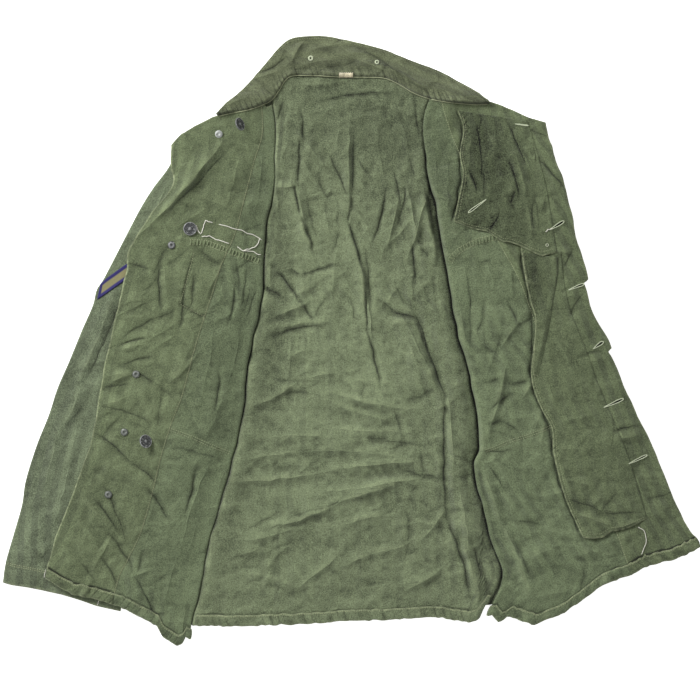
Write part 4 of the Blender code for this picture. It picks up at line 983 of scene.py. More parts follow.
@dataclass
class Cloth:
    """One layer of cloth: a grid of middle points, moved out to both sides as a wall."""

    middle: Array
    thickness: float = SHEET
    closed: bool = False
    normals: Optional[Array] = None
    worn: tuple[Edge, ...] = ()
    wear_reach: float = 1.7
    wear: Optional[Array] = None
    relief: Optional[Array] = None
    lines: Optional[Lines] = None
    tones: Optional[Table] = None
    taper: Union[float, Array] = 1.0
    fade: Union[float, Array] = 0.0

    def __post_init__(self) -> None:
        """Works out what isn't given, and turns an open sheet's face up."""
        shape = self.middle.shape[:2]
        if self.normals is None:
            self.normals = grid_normals(self.middle, self.closed)
            if not self.closed and self.normals[..., 2].mean() < 0:
                self.normals = -self.normals
        # relief: how far each point stands above or below its blurred height; the finish paints troughs
        # darker and crests paler with it, as painted shade and highlight.
        if self.relief is None:
            height = self.middle[..., 2]
            self.relief = np.clip((height - blurred(height, 5)) / 1.1, -1, 1)
        if self.wear is None:
            self.wear = self.edge_wear()
        if self.lines is None:
            self.lines = no_lines(shape)
        if self.tones is not None:
            self.fade = self.fade + patches_of(self.tones, self.middle)
        self.taper, self.fade = np.broadcast_to(self.taper, shape), np.broadcast_to(self.fade, shape)

    def edge_wear(self) -> Array:
        """A mask that is 1 on the worn borders and fades over a short distance from them.

        Returns:
            The mask.
        """
        along, down = arc_lengths(self.middle, 1), arc_lengths(self.middle, 0)
        apart = {Edge.FIRST_COLUMN: along, Edge.LAST_COLUMN: along[:, -1:] - along,
                 Edge.FIRST_ROW: down, Edge.LAST_ROW: down[-1:] - down}
        mask = np.zeros(along.shape)
        for edge in self.worn:
            mask = np.maximum(mask, bell(apart[edge] / self.wear_reach))
        return mask

    def moved(self, distance: float, rows: slice = slice(None), columns: slice = slice(None),
              worn: tuple[Edge, ...] = ()) -> "Cloth":
        """A part of this layer as a new one.

        Args:
            distance: how far it is moved out along the normals.
            rows, columns: which part of the grid.
            worn: its worn borders.

        Returns:
            The new layer.
        """
        part = (rows, columns)
        return Cloth(self.middle[part] + self.normals[part] * distance, self.thickness,
                     normals=self.normals[part], relief=self.relief[part], worn=worn, wear_reach=0.7,
                     lines={key: mask[part] for key, mask in self.lines.items()}, fade=self.fade[part])

    def feathered(self, distance: float, columns: slice, worn: tuple[Edge, ...],
                  reach: float = 8.0) -> "Cloth":
        """Like moved, but thin and close to this layer at its first column.

        Args:
            distance: how far it stands off beyond its first columns.
            columns: which part of the grid.
            worn: its worn borders.
            reach: over what distance it rises.

        Returns:
            The new layer.
        """
        part = self.moved(0.0, slice(None), columns, worn)
        rise = smooth_step(arc_lengths(part.middle, 1) / reach)
        close = (1 + FEATHER) * self.thickness / 2 + 0.06
        part.middle = part.middle + part.normals * (close + (distance - close) * rise)[..., None]
        part.taper = FEATHER + (1 - FEATHER) * rise
        return part

    def at_depth(self, depths: Sequence[float]) -> tuple[Array, Array]:
        """Points and normals of each grid column at given distances up from the last row.

        Args:
            depths: the distances.

        Returns:
            The points and the normals.
        """
        rows, columns = self.middle.shape[:2]
        spacing = np.linalg.norm(self.middle[-4:-1] - self.middle[-3:], axis=-1).mean(axis=0)
        place = (rows - 1) - np.asarray(depths)[:, None] / spacing[None]
        low = np.clip(place.astype(int), 0, rows - 2)
        share = (place - low)[..., None]
        index = np.arange(columns)[None]
        points, normals = (grid[low, index] * (1 - share) + grid[low + 1, index] * share
                           for grid in (self.middle, self.normals))
        return points, unit(normals)

    def turned_up(self, depth: float = TURN_UP, ripple: float = 1.4, seed: int = 5) -> "Cloth":
        """The hem's turned-up edge: a strip on the last rows, with small puckers across it.

        Args:
            depth: how far the strip reaches up the panel.
            ripple: height of its puckers.
            seed: which puckers.

        Returns:
            The strip as a layer of its own.
        """
        down = arc_lengths(self.middle, 0)
        # Painted shadow: the relief mask is lowered along a line just above the hem's edge, so the finish
        # darkens it there.
        self.relief = self.relief - 1.3 * bell((down[-1:] - down - depth - 1.0) / 1.3)
        depths = np.linspace(depth, 0.2, HEM_ROWS)
        points, normals = self.at_depth(depths)
        along = arc_lengths(points, 1)
        share = np.sin(np.pi * np.linspace(0.06, 0.94, HEM_ROWS))[:, None]
        waves = value_noise(along / 6.5 + depths[:, None] / 11, depths[:, None] / 20 + 0 * along, seed)
        rise = self.thickness + 0.18 + ripple * share * waves
        # The strip's relief mask follows its puckers, so the finish paints their hollows darker and crests
        # paler as painted shade and highlight; the ribs drawn across it are painted shade too.
        strip = Cloth(points + normals * rise[..., None], self.thickness, normals=normals,
                      worn=(Edge.FIRST_ROW, Edge.LAST_ROW), wear_reach=0.45, fade=self.fade[-HEM_ROWS:],
                      relief=np.clip(2.6 * share * (waves - 0.5), -1.0, 1))
        draw_ribs(strip.lines, along + 0.6 * depths[:, None], 0 * along, 9.0, 9.0, 1.1, seed + 40)
        return strip

    def hemmed(self, columns: slice, seed: int = 5) -> "Cloth":
        """The turned-up edge of some columns of this layer; this layer's relief mask then dips above it, as a
        painted shadow line.

        Args:
            columns: which part of the grid.
            seed: which puckers.

        Returns:
            The strip as a layer of its own.
        """
        part = self.moved(0.0, columns=columns)
        hem = part.turned_up(seed=seed)
        self.relief[:, columns] = part.relief
        return hem

    def half_wall(self) -> Array:
        """The way from each middle point to the upper face."""
        return self.normals * (self.taper * self.thickness / 2)[..., None]

    def face(self) -> Array:
        """The points of the upper face."""
        return self.middle + self.half_wall()

    def size(self) -> tuple[float, float, float]:
        """Width, length and area of the sheet, in metres and square metres.

        Returns:
            The three measures.
        """
        rows = np.concatenate([self.middle, self.middle[:, :1]], axis=1) if self.closed else self.middle
        width, length = arc_lengths(rows, 1)[:, -1].max(), arc_lengths(rows, 0)[-1].max()
        cross = np.cross(rows[1:, :-1] - rows[:-1, :-1], rows[:-1, 1:] - rows[:-1, :-1])
        return width * MM, length * MM, np.linalg.norm(cross, axis=-1).sum() * MM * MM

    def wall(self) -> tuple[Array, Array, dict[str, Array]]:
        """Points, faces and masks of the closed wall.

        Returns:
            The three, the masks by name.
        """
        rows, columns = self.middle.shape[:2]
        half = self.half_wall()
        points = np.concatenate([(self.middle + half).reshape(-1, 3), (self.middle - half).reshape(-1, 3)])
        count = rows * columns
        index = np.arange(count).reshape(rows, columns)
        skin = patch_faces(rows, columns, self.closed)
        if self.closed:
            loops = [np.append(index[0], index[0, 0]), np.append(index[-1], index[-1, 0])[::-1]]
        else:
            loops = [np.concatenate([index[0], index[1:, -1], index[-1, -2::-1], index[-2::-1, 0]])]
        rims = [np.stack([loop[:-1], loop[:-1] + count, loop[1:] + count, loop[1:]], -1) for loop in loops]
        masks = {"wear": self.wear, "relief": self.relief, "across": arc_lengths(self.middle, 1),
                 "down": arc_lengths(self.middle, 0), "fade": self.fade, **self.lines}
        return (points, outward(points, np.concatenate([skin, skin[:, ::-1] + count] + rims)),
                {key: np.tile(mask.reshape(-1), 2) for key, mask in masks.items()})


def patches_of(tones: Table, points: Array) -> Array:
    """Paler and darker places: the sum of soft round patches at plan points.

    Args:
        tones: the table of patches.
        points: where they are read.

    Returns:
        The sum at each point.
    """
    total = np.zeros(points.shape[:2])
    for x, y, wide, tall, tone in zip(*tones.values()):
        total += tone * np.exp(-((points[..., 0] - x) / wide) ** 2 - ((points[..., 1] - y) / tall) ** 2)
    return total


def outward(points: Array, faces: Array) -> Array:
    """The same faces, turned so that the closed mesh has its outside out.

    Args:
        points: the mesh's points.
        faces: its faces.

    Returns:
        The faces.
    """
    a, b, c, d = (points[faces[:, corner]] for corner in range(4))
    volume = np.einsum("ij,ij->", a, np.cross(b, c)) + np.einsum("ij,ij->", a, np.cross(c, d))
    return faces[:, ::-1] if volume < 0 else faces


def new_object(name: str, data: bpy.types.ID) -> bpy.types.Object:
    """A new object in the scene, at the origin.

    Args:
        name: its name.
        data: its mesh, light or camera.

    Returns:
        The object.
    """
    made = bpy.data.objects.new(name, data)
    bpy.context.scene.collection.objects.link(made)
    return made


def add_mesh(name: str, points: Array, faces: Array, finish: "Finish",
             masks: Optional[dict[str, Array]] = None) -> bpy.types.Object:
    """Makes one piece from points in millimetres.

    Args:
        name: the piece's name.
        points: its points.
        faces: its faces, as four point numbers, the last two alike in a triangle.
        finish: its finish.
        masks: numbers for each point, stored as attributes that the finish reads.

    Returns:
        The new object, riding on the body.
    """
    mesh = bpy.data.meshes.new(name)
    three = faces[:, 2] == faces[:, 3]
    mesh.from_pydata((points * MM).tolist(), [], faces[~three].tolist() + faces[three, :3].tolist())
    mesh.shade_smooth()
    for key, values in (masks or {}).items():
        mesh.attributes.new(key, "FLOAT", "POINT").data.foreach_set("value", values.astype(np.float32))
    mesh.materials.append(finish.material())
    piece = new_object(name, mesh)
    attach(piece, "root")
    log.info("%s: %d faces", name, len(faces))
    return piece


def add_sheet(base: str, side: Optional[Side], cloths: Sequence[Cloth], finish: "Finish", slot: str,
              *rests_on: str) -> None:
    """Makes a sheet, hides the node it stands for and logs the size it was cut to.

    Args:
        base, side: the name of the node it replaces, and the wearer's side in that name.
        cloths: its layers; the first gives the cut's width, length and area.
        finish: its finish.
        slot: not used.
        rests_on: not used.
    """
    word = "_" + side.value if side else ""
    points, faces, masks = zip(*(cloth.wall() for cloth in cloths))
    starts = np.cumsum([0] + [len(part) for part in points[:-1]])
    piece = add_mesh(base + "_shell" + word, np.concatenate(points),
                     np.concatenate([part + start for part, start in zip(faces, starts)]), finish,
                     {key: np.concatenate([part[key] for part in masks]) for key in masks[0]})
    width, length, area = cloths[0].size()
    length = max(length, SHORTEST_CUT)
    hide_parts(base + word)
    min(area, width * length)
    log.info("    cut %.0f x %.0f mm, %.4f m2", width / MM, length / MM, area)


def fan(loop: Array, centre: int) -> Array:
    """Triangles from a closed loop of points to a middle point."""
    middle = np.full(len(loop), centre)
    return np.stack([loop, np.roll(loop, -1), middle, middle], -1)


def capped(rings: Array, ends: Sequence[Sequence[float]]) -> tuple[Array, Array]:
    """A closed shape from rings of points and the middle points of its first and last ring.

    Args:
        rings: the rings, first to last.
        ends: the two middle points.

    Returns:
        Its points, and its faces as four point numbers.
    """
    count, sides = rings.shape[:2]
    loop, last = np.arange(sides), count * sides
    return np.concatenate([rings.reshape(-1, 3), ends]), np.concatenate([
        patch_faces(count, sides, True), fan(loop[::-1], last), fan(loop + last - sides, last + 1)])


def round_steps(count: int) -> Array:
    """Angles at even steps round a circle."""
    return np.linspace(0, 2 * np.pi, count, endpoint=False)


def tube(path: Array, radius: float, sides: int = 6) -> tuple[Array, Array]:
    """A closed tube round a path: a ring at each point, square to the way the path runs there.

    Args:
        path: points along its middle.
        radius: half its thickness.
        sides: points round a ring.

    Returns:
        Its points, and its faces as four point numbers.
    """
    forward = unit(np.gradient(path, axis=0))
    aside = unit(np.cross(forward, UP))
    above = np.cross(aside, forward)
    angle = round_steps(sides)[None, :, None]
    taper = np.ones((len(path), 1, 1))
    taper[[0, -1]] = 0.25
    rings = path[:, None] + radius * taper * (aside[:, None] * np.cos(angle) + above[:, None] * np.sin(angle))
    return capped(rings, path[[0, -1]])


def turned(profile: Sequence[tuple[float, float]], sides: int = 40) -> tuple[Array, Array]:
    """A turned shape from (radius, height) points, from its underside to its top.

    Args:
        profile: the radii and heights.
        sides: points round a ring.

    Returns:
        Its points, and its faces as four point numbers.
    """
    line, angle = np.array(profile), round_steps(sides)
    ring = np.stack([np.cos(angle), np.sin(angle)], -1)
    rings = np.concatenate([ring[None] * line[:, :1, None],
                            np.broadcast_to(line[:, 1, None, None], (len(line), sides, 1))], -1)
    return capped(rings, [(0, 0, line[0, 1]), (0, 0, line[-1, 1])])


class Sewing:
    """Gathers stitches and threads of one colour into a single piece."""

    def __init__(self) -> None:
        """Starts with no thread."""
        self.points: list[Array] = []
        self.faces: list[Array] = []
        self.count = 0

    def add(self, points: Array, faces: Array) -> None:
        """Adds one closed shape.

        Args:
            points: its points.
            faces: its faces.
        """
        self.points.append(points)
        self.faces.append(faces + self.count)
        self.count += len(points)

    def stitches(self, path: Array, pitch: float = 3.0, length: float = 2.1, radius: float = 0.32,
                 lift: float = 0.12, crosswise: bool = False) -> None:
        """Adds a row of short stitches: spindles set at even steps along a path.

        Args:
            path: points on the cloth's face.
            pitch: distance from one stitch to the next.
            length: length of a stitch.
            radius: half its thickness.
            lift: how far its middle stands off the cloth.
            crosswise: lays them across the path, as puckers, instead of along it.
        """
        run = arc_lengths(path[None], 1)[0]
        centres = np.arange(pitch / 2, run[-1], pitch)
        if len(centres) == 0:
            return
        middle, ahead, behind = (np.stack([np.interp(centres + shift, run, path[:, axis])
                                           for axis in range(3)], -1) for shift in (0.0, 0.3, -0.3))
        forward = unit(ahead - behind)
        aside = unit(np.cross(forward, UP))
        above = np.cross(aside, forward)
        if crosswise:
            forward, aside = aside, -forward
        along = np.array([-0.5, -0.25, 0.25, 0.5]) * length
        swell = np.array([0.35, 1.0, 1.0, 0.35]) * radius
        angle = round_steps(4) + np.pi / 4
        ring = (forward[:, None, None] * along[None, :, None, None]
                + aside[:, None, None] * (swell[:, None] * np.cos(angle))[None, ..., None]
                + above[:, None, None] * (lift + swell[:, None] * np.sin(angle))[None, ..., None])
        points = (middle[:, None, None] + ring).reshape(-1, 3)
        shape = np.concatenate([patch_faces(4, 4, True), [[3, 2, 1, 0], [12, 13, 14, 15]]])
        self.add(points, (shape[None] + 16 * np.arange(len(centres))[:, None, None]).reshape(-1, 4))

    def make(self, name: str, finish: "Finish", slot: str) -> None:
        """Joins all that was added into one piece."""
        add_mesh(name, np.concatenate(self.points), np.concatenate(self.faces), finish)


# ---------------------------------------------------------------- shader maths

Number = Union[float, "Field"]


class Field:
    """A shader socket that takes part in Python sums, products and powers."""

    def __init__(self, graph: "Graph", socket: bpy.types.NodeSocket) -> None:
        """Wraps one output socket of a graph."""
        self.graph = graph
        self.socket = socket

    def _math(self, operation: str, first: Number, second: Number = 0.0) -> "Field":
        """Adds one Math node."""
        return self.graph.output("ShaderNodeMath", {"operation": operation}, {0: first, 1: second})

    def __add__(self, other: Number) -> "Field":
        """This plus another."""
        return self._math("ADD", self, other)

    __radd__ = __add__

    def __sub__(self, other: Number) -> "Field":
        """This minus another."""
        return self._math("SUBTRACT", self, other)

    def __rsub__(self, other: Number) -> "Field":
        """Another minus this."""
        return self._math("SUBTRACT", other, self)

    def __mul__(self, other: Number) -> "Field":
        """This times another."""
        return self._math("MULTIPLY", self, other)

    __rmul__ = __mul__

    def __truediv__(self, other: Number) -> "Field":
        """This over another."""
        return self._math("DIVIDE", self, other)

    def __pow__(self, other: Number) -> "Field":
        """This to a power."""
        return self._math("POWER", self, other)

    def size(self) -> "Field":
        """Its absolute value."""
        return self._math("ABSOLUTE", self)

    def wave(self) -> "Field":
        """Its sine."""
        return self._math("SINE", self)

    def triangle(self, half: float) -> "Field":
        """Runs up and down between 0 and a half period."""
        return self._math("PINGPONG", self, half)

    def decay(self) -> "Field":
        """The exponential of minus itself."""
        return self._math("EXPONENT", self * -1.0)

    def held(self) -> "Field":
        """Held between 0 and 1."""
        return self.graph.output("ShaderNodeClamp", {}, {0: self})

    def rising(self, low: float, high: float) -> "Field":
        """0 below the first value, 1 above the second, eased between.

        Args:
            low, high: the two values.

        Returns:
            The eased share.
        """
        return self.graph.output("ShaderNodeMapRange", {"interpolation_type": "SMOOTHSTEP"},
                                 {0: self, 1: low, 2: high, 3: 0.0, 4: 1.0})


class Graph:
    """The node tree of one material."""

    def __init__(self, name: str) -> None:
        """Starts a material with one Principled shader.

        Args:
            name: the material's name.
        """
        self.material = bpy.data.materials.new(name)
        self.material.use_nodes = True
        self.tree = self.material.node_tree
        self.shader = self.tree.nodes["Principled BSDF"]

    def node(self, kind: str, settings: dict, sockets: dict) -> bpy.types.Node:
        """Adds a node.

        Args:
            kind: the node's type.
            settings: its properties, set first.
            sockets: values or fields of its inputs, by name or number.

        Returns:
            The node.
        """
        made = self.tree.nodes.new(kind)
        for key, value in settings.items():
            setattr(made, key, value)
        for key, value in sockets.items():
            self.feed(made.inputs[key], value)
        return made

    def output(self, kind: str, settings: dict, sockets: dict, name: Union[int, str] = 0) -> Field:
        """One output of a new node, by name or number; the rest is as for node."""
        return Field(self, self.node(kind, settings, sockets).outputs[name])

    def feed(self, socket: bpy.types.NodeSocket, value: object) -> None:
        """Links a field to a socket, or sets its value.

        Args:
            socket: the input.
            value: the field or the value.
        """
        if isinstance(value, Field):
            self.tree.links.new(value.socket, socket)
        else:
            socket.default_value = value

    def attribute(self, name: str) -> Field:
        """A number stored on the mesh."""
        return self.output("ShaderNodeAttribute", {"attribute_name": name}, {}, "Fac")

    def place(self) -> Field:
        """Object coordinates, in metres."""
        return self.output("ShaderNodeTexCoord", {}, {}, "Object")

    def noise(self, vector: Field, scale: float, detail: float = 2.0, rough: float = 0.5) -> Field:
        """Noise from 0 to 1.

        Args:
            vector: where it is read.
            scale: how fine.
            detail: how many octaves.
            rough: how strong the fine ones are.

        Returns:
            The noise.
        """
        return self.output("ShaderNodeTexNoise", {}, {"Vector": vector, "Scale": scale, "Detail": detail,
                                                      "Roughness": rough})

    def warped(self, vector: Field, scale: float, amount: float) -> Field:
        """A vector pushed about by noise of the given scale, by the given amount.

        Args:
            vector: the vector.
            scale: how fine.
            amount: how far.

        Returns:
            The new vector.
        """
        push = self.output("ShaderNodeTexNoise", {}, {"Vector": vector, "Scale": scale, "Detail": 2.0},
                           "Color")
        return self.output("ShaderNodeVectorMath", {"operation": "MULTIPLY_ADD"},
                           {0: push, 1: (amount,) * 3, 2: vector})

    def facets(self, vector: Field, scale: float, angle: float, stretch: float) -> Field:
        """Squared distance to the nearest of scattered points: hollows that meet in sharp ridges.

        Args:
            vector: where they are read.
            scale: how fine.
            angle: their direction, in degrees.
            stretch: how far they are drawn out.

        Returns:
            The squared distance.
        """
        drawn_out = self.output("ShaderNodeMapping", {}, {
            "Vector": vector, "Rotation": (0.0, 0.0, math.radians(angle)), "Scale": (1 / stretch, 1.0, 0.0)})
        distance = self.output("ShaderNodeTexVoronoi", {"voronoi_dimensions": "2D"},
                               {"Vector": drawn_out, "Scale": scale}, "Distance")
        return distance * distance

    def vector(self, x: Number, y: Number, z: Number = 0.0) -> Field:
        """Three numbers as one vector."""
        return self.output("ShaderNodeCombineXYZ", {}, {0: x, 1: y, 2: z})

    def mix(self, share: Number, first: object, second: object, blend: str = "MIX") -> Field:
        """Mixes two colours.

        Args:
            share: how much of the second.
            first, second: the colours.
            blend: how the second goes over the first.

        Returns:
            The mixed colour.
        """
        made = self.node("ShaderNodeMix", {"data_type": "RGBA", "blend_type": blend}, {})
        self.feed(made.inputs["Factor"], share)
        colours = [socket for socket in made.inputs if socket.type == "RGBA"]
        self.feed(colours[0], first)
        self.feed(colours[1], second)
        return Field(self, [socket for socket in made.outputs if socket.type == "RGBA"][0])

    def grey(self, value: Field) -> Field:
        """A number as a grey colour, to multiply another colour by."""
        return self.output("ShaderNodeCombineColor", {}, {0: value, 1: value, 2: value})

    def bump(self, height: Field, strength: float, distance: float) -> None:
        """Feeds a height to the shader's normal; the distance is in metres."""
        self.feed(self.shader.inputs["Normal"], self.output("ShaderNodeBump", {}, {
            "Strength": strength, "Distance": distance, "Height": height}))

    def surface(self, colour: object, **values: object) -> bpy.types.Material:
        """Feeds the Principled shader and returns the material.

        Args:
            colour: its base colour.
            **values: its other inputs, by name.

        Returns:
            The material.
        """
        self.feed(self.shader.inputs["Base Color"], colour)
        for key, value in values.items():
            self.feed(self.shader.inputs[key.replace("_", " ")], value)
        return self.material


def linear(red: float, green: float, blue: float) -> tuple[float, float, float, float]:
    """A display colour of 0 to 255 as linear light.

    Args:
        red, green, blue: its parts.

    Returns:
        The colour, with alpha.
    """
    parts = np.array([red, green, blue]) / 255
    parts = np.where(parts > 0.04045, ((parts + 0.055) / 1.055) ** 2.4, parts / 12.92)
    return (*(float(part) for part in parts), 1.0)


# ---------------------------------------------------------------- finishes

@dataclass(frozen=True)
class Cotton:
    """Herringbone cotton: washed-out dye, worn edges, dirt in patches, painted shade in the troughs of its
    folds and painted highlight on their crests.
    """

    name: str
    dye: Colour
    # The worn colour is that of worn edges and also of the painted highlight on crests; the dark colour below
    # it is that of dirt patches and also of the painted shade in troughs.
    worn: Colour = (172, 180, 140)
    soil_and_shade: Colour = (46, 50, 38)
    patchy: float = 0.16
    rib: float = 9.0
    twill: float = 1.3
    lay: float = 60.0
    crumpled: float = 4.0
    line_width: float = 0.9

    @cache
    def material(self) -> bpy.types.Material:
        """Colour: dye, times patches and thread grain, with painted shade in troughs and crease lines,
        painted highlight on crests, and paler worn edges.

        Returns:
            The material.
        """
        graph = Graph(self.name)
        place = graph.place()
        across, down = graph.attribute("across"), graph.attribute("down")
        wear, relief = graph.attribute("wear"), graph.attribute("relief")
        fade = graph.attribute("fade")
        weft = graph.noise(graph.vector(across * 0.10, down * 0.6), 1.0, 3.0, 0.7)
        warp = graph.noise(graph.vector(across * 0.6, down * 0.10), 1.0, 3.0, 0.7)
        grain = graph.noise(place, 700.0, 2.0, 0.8)
        warped = graph.warped(place, 14.0, 0.05)
        folds = (graph.facets(warped, 34.0, self.lay, 2.6)
                 - graph.facets(warped, 52.0, self.lay + 80, 1.8) * 0.6
                 + graph.facets(warped, 88.0, self.lay - 35, 1.6) * 0.4)
        patches = graph.noise(place, 9.0, 5.0, 0.62)
        clouds = graph.noise(place, 34.0, 4.0, 0.6)
        rubbed_and_shading = graph.noise(place, 240.0, 3.0, 0.7)
        # Painted shade and highlight: the crease marks darken troughs and crevices and lighten ridges along
        # their lines.
        near = (graph.attribute("line").size() / self.line_width).decay()
        mark = graph.attribute("mark") * (0.4 + clouds * 1.2)
        dark, light = (mark * -0.42).held() * near, (mark * 0.42).held() * near
        deep = (mark * -0.42 - 1.0).held() * near
        # The relief and the facet hollows (folds) darken troughs and lighten crests as painted shade and
        # highlight; patches, clouds, grain, weft and warp are the cloth's own tone.
        tone = (1.0 + (patches - 0.5) * (2 * self.patchy) + (clouds - 0.5) * 0.26
                + (grain - 0.5) * 2.4 + (weft - 0.5) * 0.5 + (warp - 0.5) * 0.5
                + relief * 0.16 - (folds - 0.15) * 0.22 + fade - dark * 0.72 - deep * 0.3 + light * 0.16)
        colour = graph.mix(1.0, linear(*self.dye), graph.grey(tone), "MULTIPLY")
        # Painted shade: troughs of the relief are mixed toward the dark colour; the patches above 0.62 are
        # dirt.
        soil_and_shade_mix = (0.0 - relief).held() * 0.4 + (0.0 - relief - 1.0).held() * 0.6 \
            + (patches - 0.62).held() * 0.6
        colour = graph.mix(soil_and_shade_mix.held(), colour, linear(*self.soil_and_shade))
        # Worn edges are real wear; the paler crests of the relief are painted highlight.
        wear_and_highlight = (wear * (rubbed_and_shading - 0.3) * 2.6 + (relief - 0.35).held() * rubbed_and_shading * 0.30).held()
        colour = graph.mix(wear_and_highlight, colour, linear(*self.worn))
        phase = (down + across.triangle(self.rib)) * (2 * math.pi / self.twill)
        height = (phase.wave() * 0.2 + grain * 0.7 + (weft + warp) * 0.4 - folds * self.crumpled
                  + (light - dark) * 1.7)
        graph.bump(height, 1.0, 0.0009)
        return graph.surface(colour, Roughness=0.9, Sheen_Weight=0.12, Sheen_Roughness=0.5,
                             Specular_IOR_Level=0.2)


@dataclass(frozen=True)
class Thread:
    """Cotton sewing thread."""

    name: str
    colour: Colour

    @cache
    def material(self) -> bpy.types.Material:
        """Colour broken by fine noise along the thread.

        Returns:
            The material.
        """
        graph = Graph(self.name)
        place = graph.place()
        fine = graph.noise(place, 900.0, 2.0)
        dull = graph.noise(place, 60.0, 2.0)
        tone = 0.86 + fine * 0.28 + (dull - 0.5) * 0.3
        colour = graph.mix(1.0, linear(*self.colour), graph.grey(tone), "MULTIPLY")
        graph.bump(fine, 0.3, 0.0002)
        return graph.surface(colour, Roughness=0.85, Specular_IOR_Level=0.2)


@dataclass(frozen=True)
class Metal:
    """Painted or bare metal of a tack button, worn in spots; its rim band is partly worn paint and partly
    painted highlight and shade.
    """

    name: str
    colour: Colour
    rubbed_and_shading: Colour
    metallic: float = 0.8
    roughness: float = 0.4

    @cache
    def material(self) -> bpy.types.Material:
        """Colour: the finish, worn in spots, and mixed to the second colour along the rim band as worn paint
        and painted highlight and shade.

        Returns:
            The material.
        """
        graph = Graph(self.name)
        place = graph.place()
        spots = graph.noise(place, 420.0, 4.0, 0.6)
        mask = (spots.rising(0.56, 0.74) + graph.attribute("rim") * (spots + 0.3)).held()
        colour = graph.mix(mask, linear(*self.colour), linear(*self.rubbed_and_shading))
        graph.bump(spots, 0.25, 0.0003)
        return graph.surface(colour, Metallic=self.metallic, Roughness=self.roughness + spots * 0.25)


@dataclass(frozen=True)
class Braid:
    """The sleeve's stripe: a khaki bar inside a dark violet border, both embroidered."""

    name: str
    border: Colour = (44, 40, 92)
    bar: Colour = (122, 118, 84)
    border_width: float = 3.4

    @cache
    def material(self) -> bpy.types.Material:
        """Colour by the distance from the strip's edges; satin stitches run across as fine ribs.

        Returns:
            The material.
        """
        graph = Graph(self.name)
        rim = graph.attribute("wear")
        down = graph.attribute("down")
        fine = graph.noise(graph.place(), 700.0, 3.0, 0.6)
        cloudy = graph.noise(graph.place(), 90.0, 3.0)
        inner = (self.border_width / 4.0 - rim * self.border_width).rising(-0.3, 0.3)
        colour = graph.mix(inner, linear(*self.border), linear(*self.bar))
        colour = graph.mix(1.0, colour, graph.grey(0.7 + fine * 0.4 + cloudy * 0.2), "MULTIPLY")
        ribs = (down * (2 * math.pi / 0.9)).wave()
        graph.bump(ribs * 0.5 + fine, 0.4, 0.0004)
        return graph.surface(colour, Roughness=0.8, Specular_IOR_Level=0.3)


Finish = Union[Cotton, Thread, Metal, Braid]

PANEL = Cotton("cotton_panel", (108, 120, 90))
BACK_COTTON = Cotton("cotton_back", (120, 131, 100), lay=80)
FACING = Cotton("cotton_facing", (106, 117, 86))
SLEEVE = Cotton("cotton_sleeve", (116, 127, 100), lay=70)
COLLAR_COTTON = Cotton("cotton_collar", (103, 110, 83), lay=10)
TAPE = Cotton("label_tape", (222, 212, 178), worn=(240, 234, 214), soil_and_shade=(150, 138, 104), patchy=0.08)
SEAM_THREAD = Thread("seam_thread", (168, 174, 138))
WHITE_THREAD = Thread("white_thread", (226, 224, 212))
HOLE_SHADE = Thread("hole_shade", (38, 42, 32))
DARK_METAL = Metal("dark_metal", (50, 52, 52), (196, 198, 196), metallic=0.2, roughness=0.45)
PALE_METAL = Metal("pale_metal", (170, 174, 170), (96, 96, 88), metallic=0.3, roughness=0.45)
CAP_METAL = Metal("cap_metal", (72, 76, 70), (158, 162, 155), metallic=0.25, roughness=0.45)
PUCKER_COTTON = Thread("pucker_cotton", (114, 124, 94))
WORKED_THREAD = Thread("worked_thread", (188, 196, 168))
STRIPE_BRAID = Braid("stripe_braid")


# ---------------------------------------------------------------- the pieces

@dataclass
class Layers:
    """What the pieces share while they are laid: the pile, and the sewing of each colour."""

    pile: HeightMap = field(default_factory=HeightMap)
    seams: Sewing = field(default_factory=Sewing)
    puckers: Sewing = field(default_factory=Sewing)
    white: Sewing = field(default_factory=Sewing)

    def on_top(self, plan: Sequence[tuple[float, float]], count: int, lift: float) -> Array:
        """A smooth line through plan points, lying on the cloth laid so far."""
        line = resample(np.array(plan, dtype=float), count)
        return with_height(line, self.pile.surface_at(line) + lift)


def half_turn(low: Array, high: Array, way: Array, reach: float, steps: int) -> Array:
    """Half a turn of cloth from the end of a lower layer up to the start of an upper one.

    Round a half circle, each point moves outwards in plan by the sine of the angle, and passes
    from low to high as (1 - cosine) / 2.

    Args:
        low, high: the rows of points that it joins.
        way: outwards in plan, for each row.
        reach: how far it stands out.
        steps: how many points it has.

    Returns:
        The points between the two rows.
    """
    angle = np.linspace(0, np.pi, steps + 2)[1:-1]
    turn = across(low, high, (1 - np.cos(angle)) / 2)
    turn[..., :2] += way[:, None] * reach * np.sin(angle)[None, :, None]
    return turn


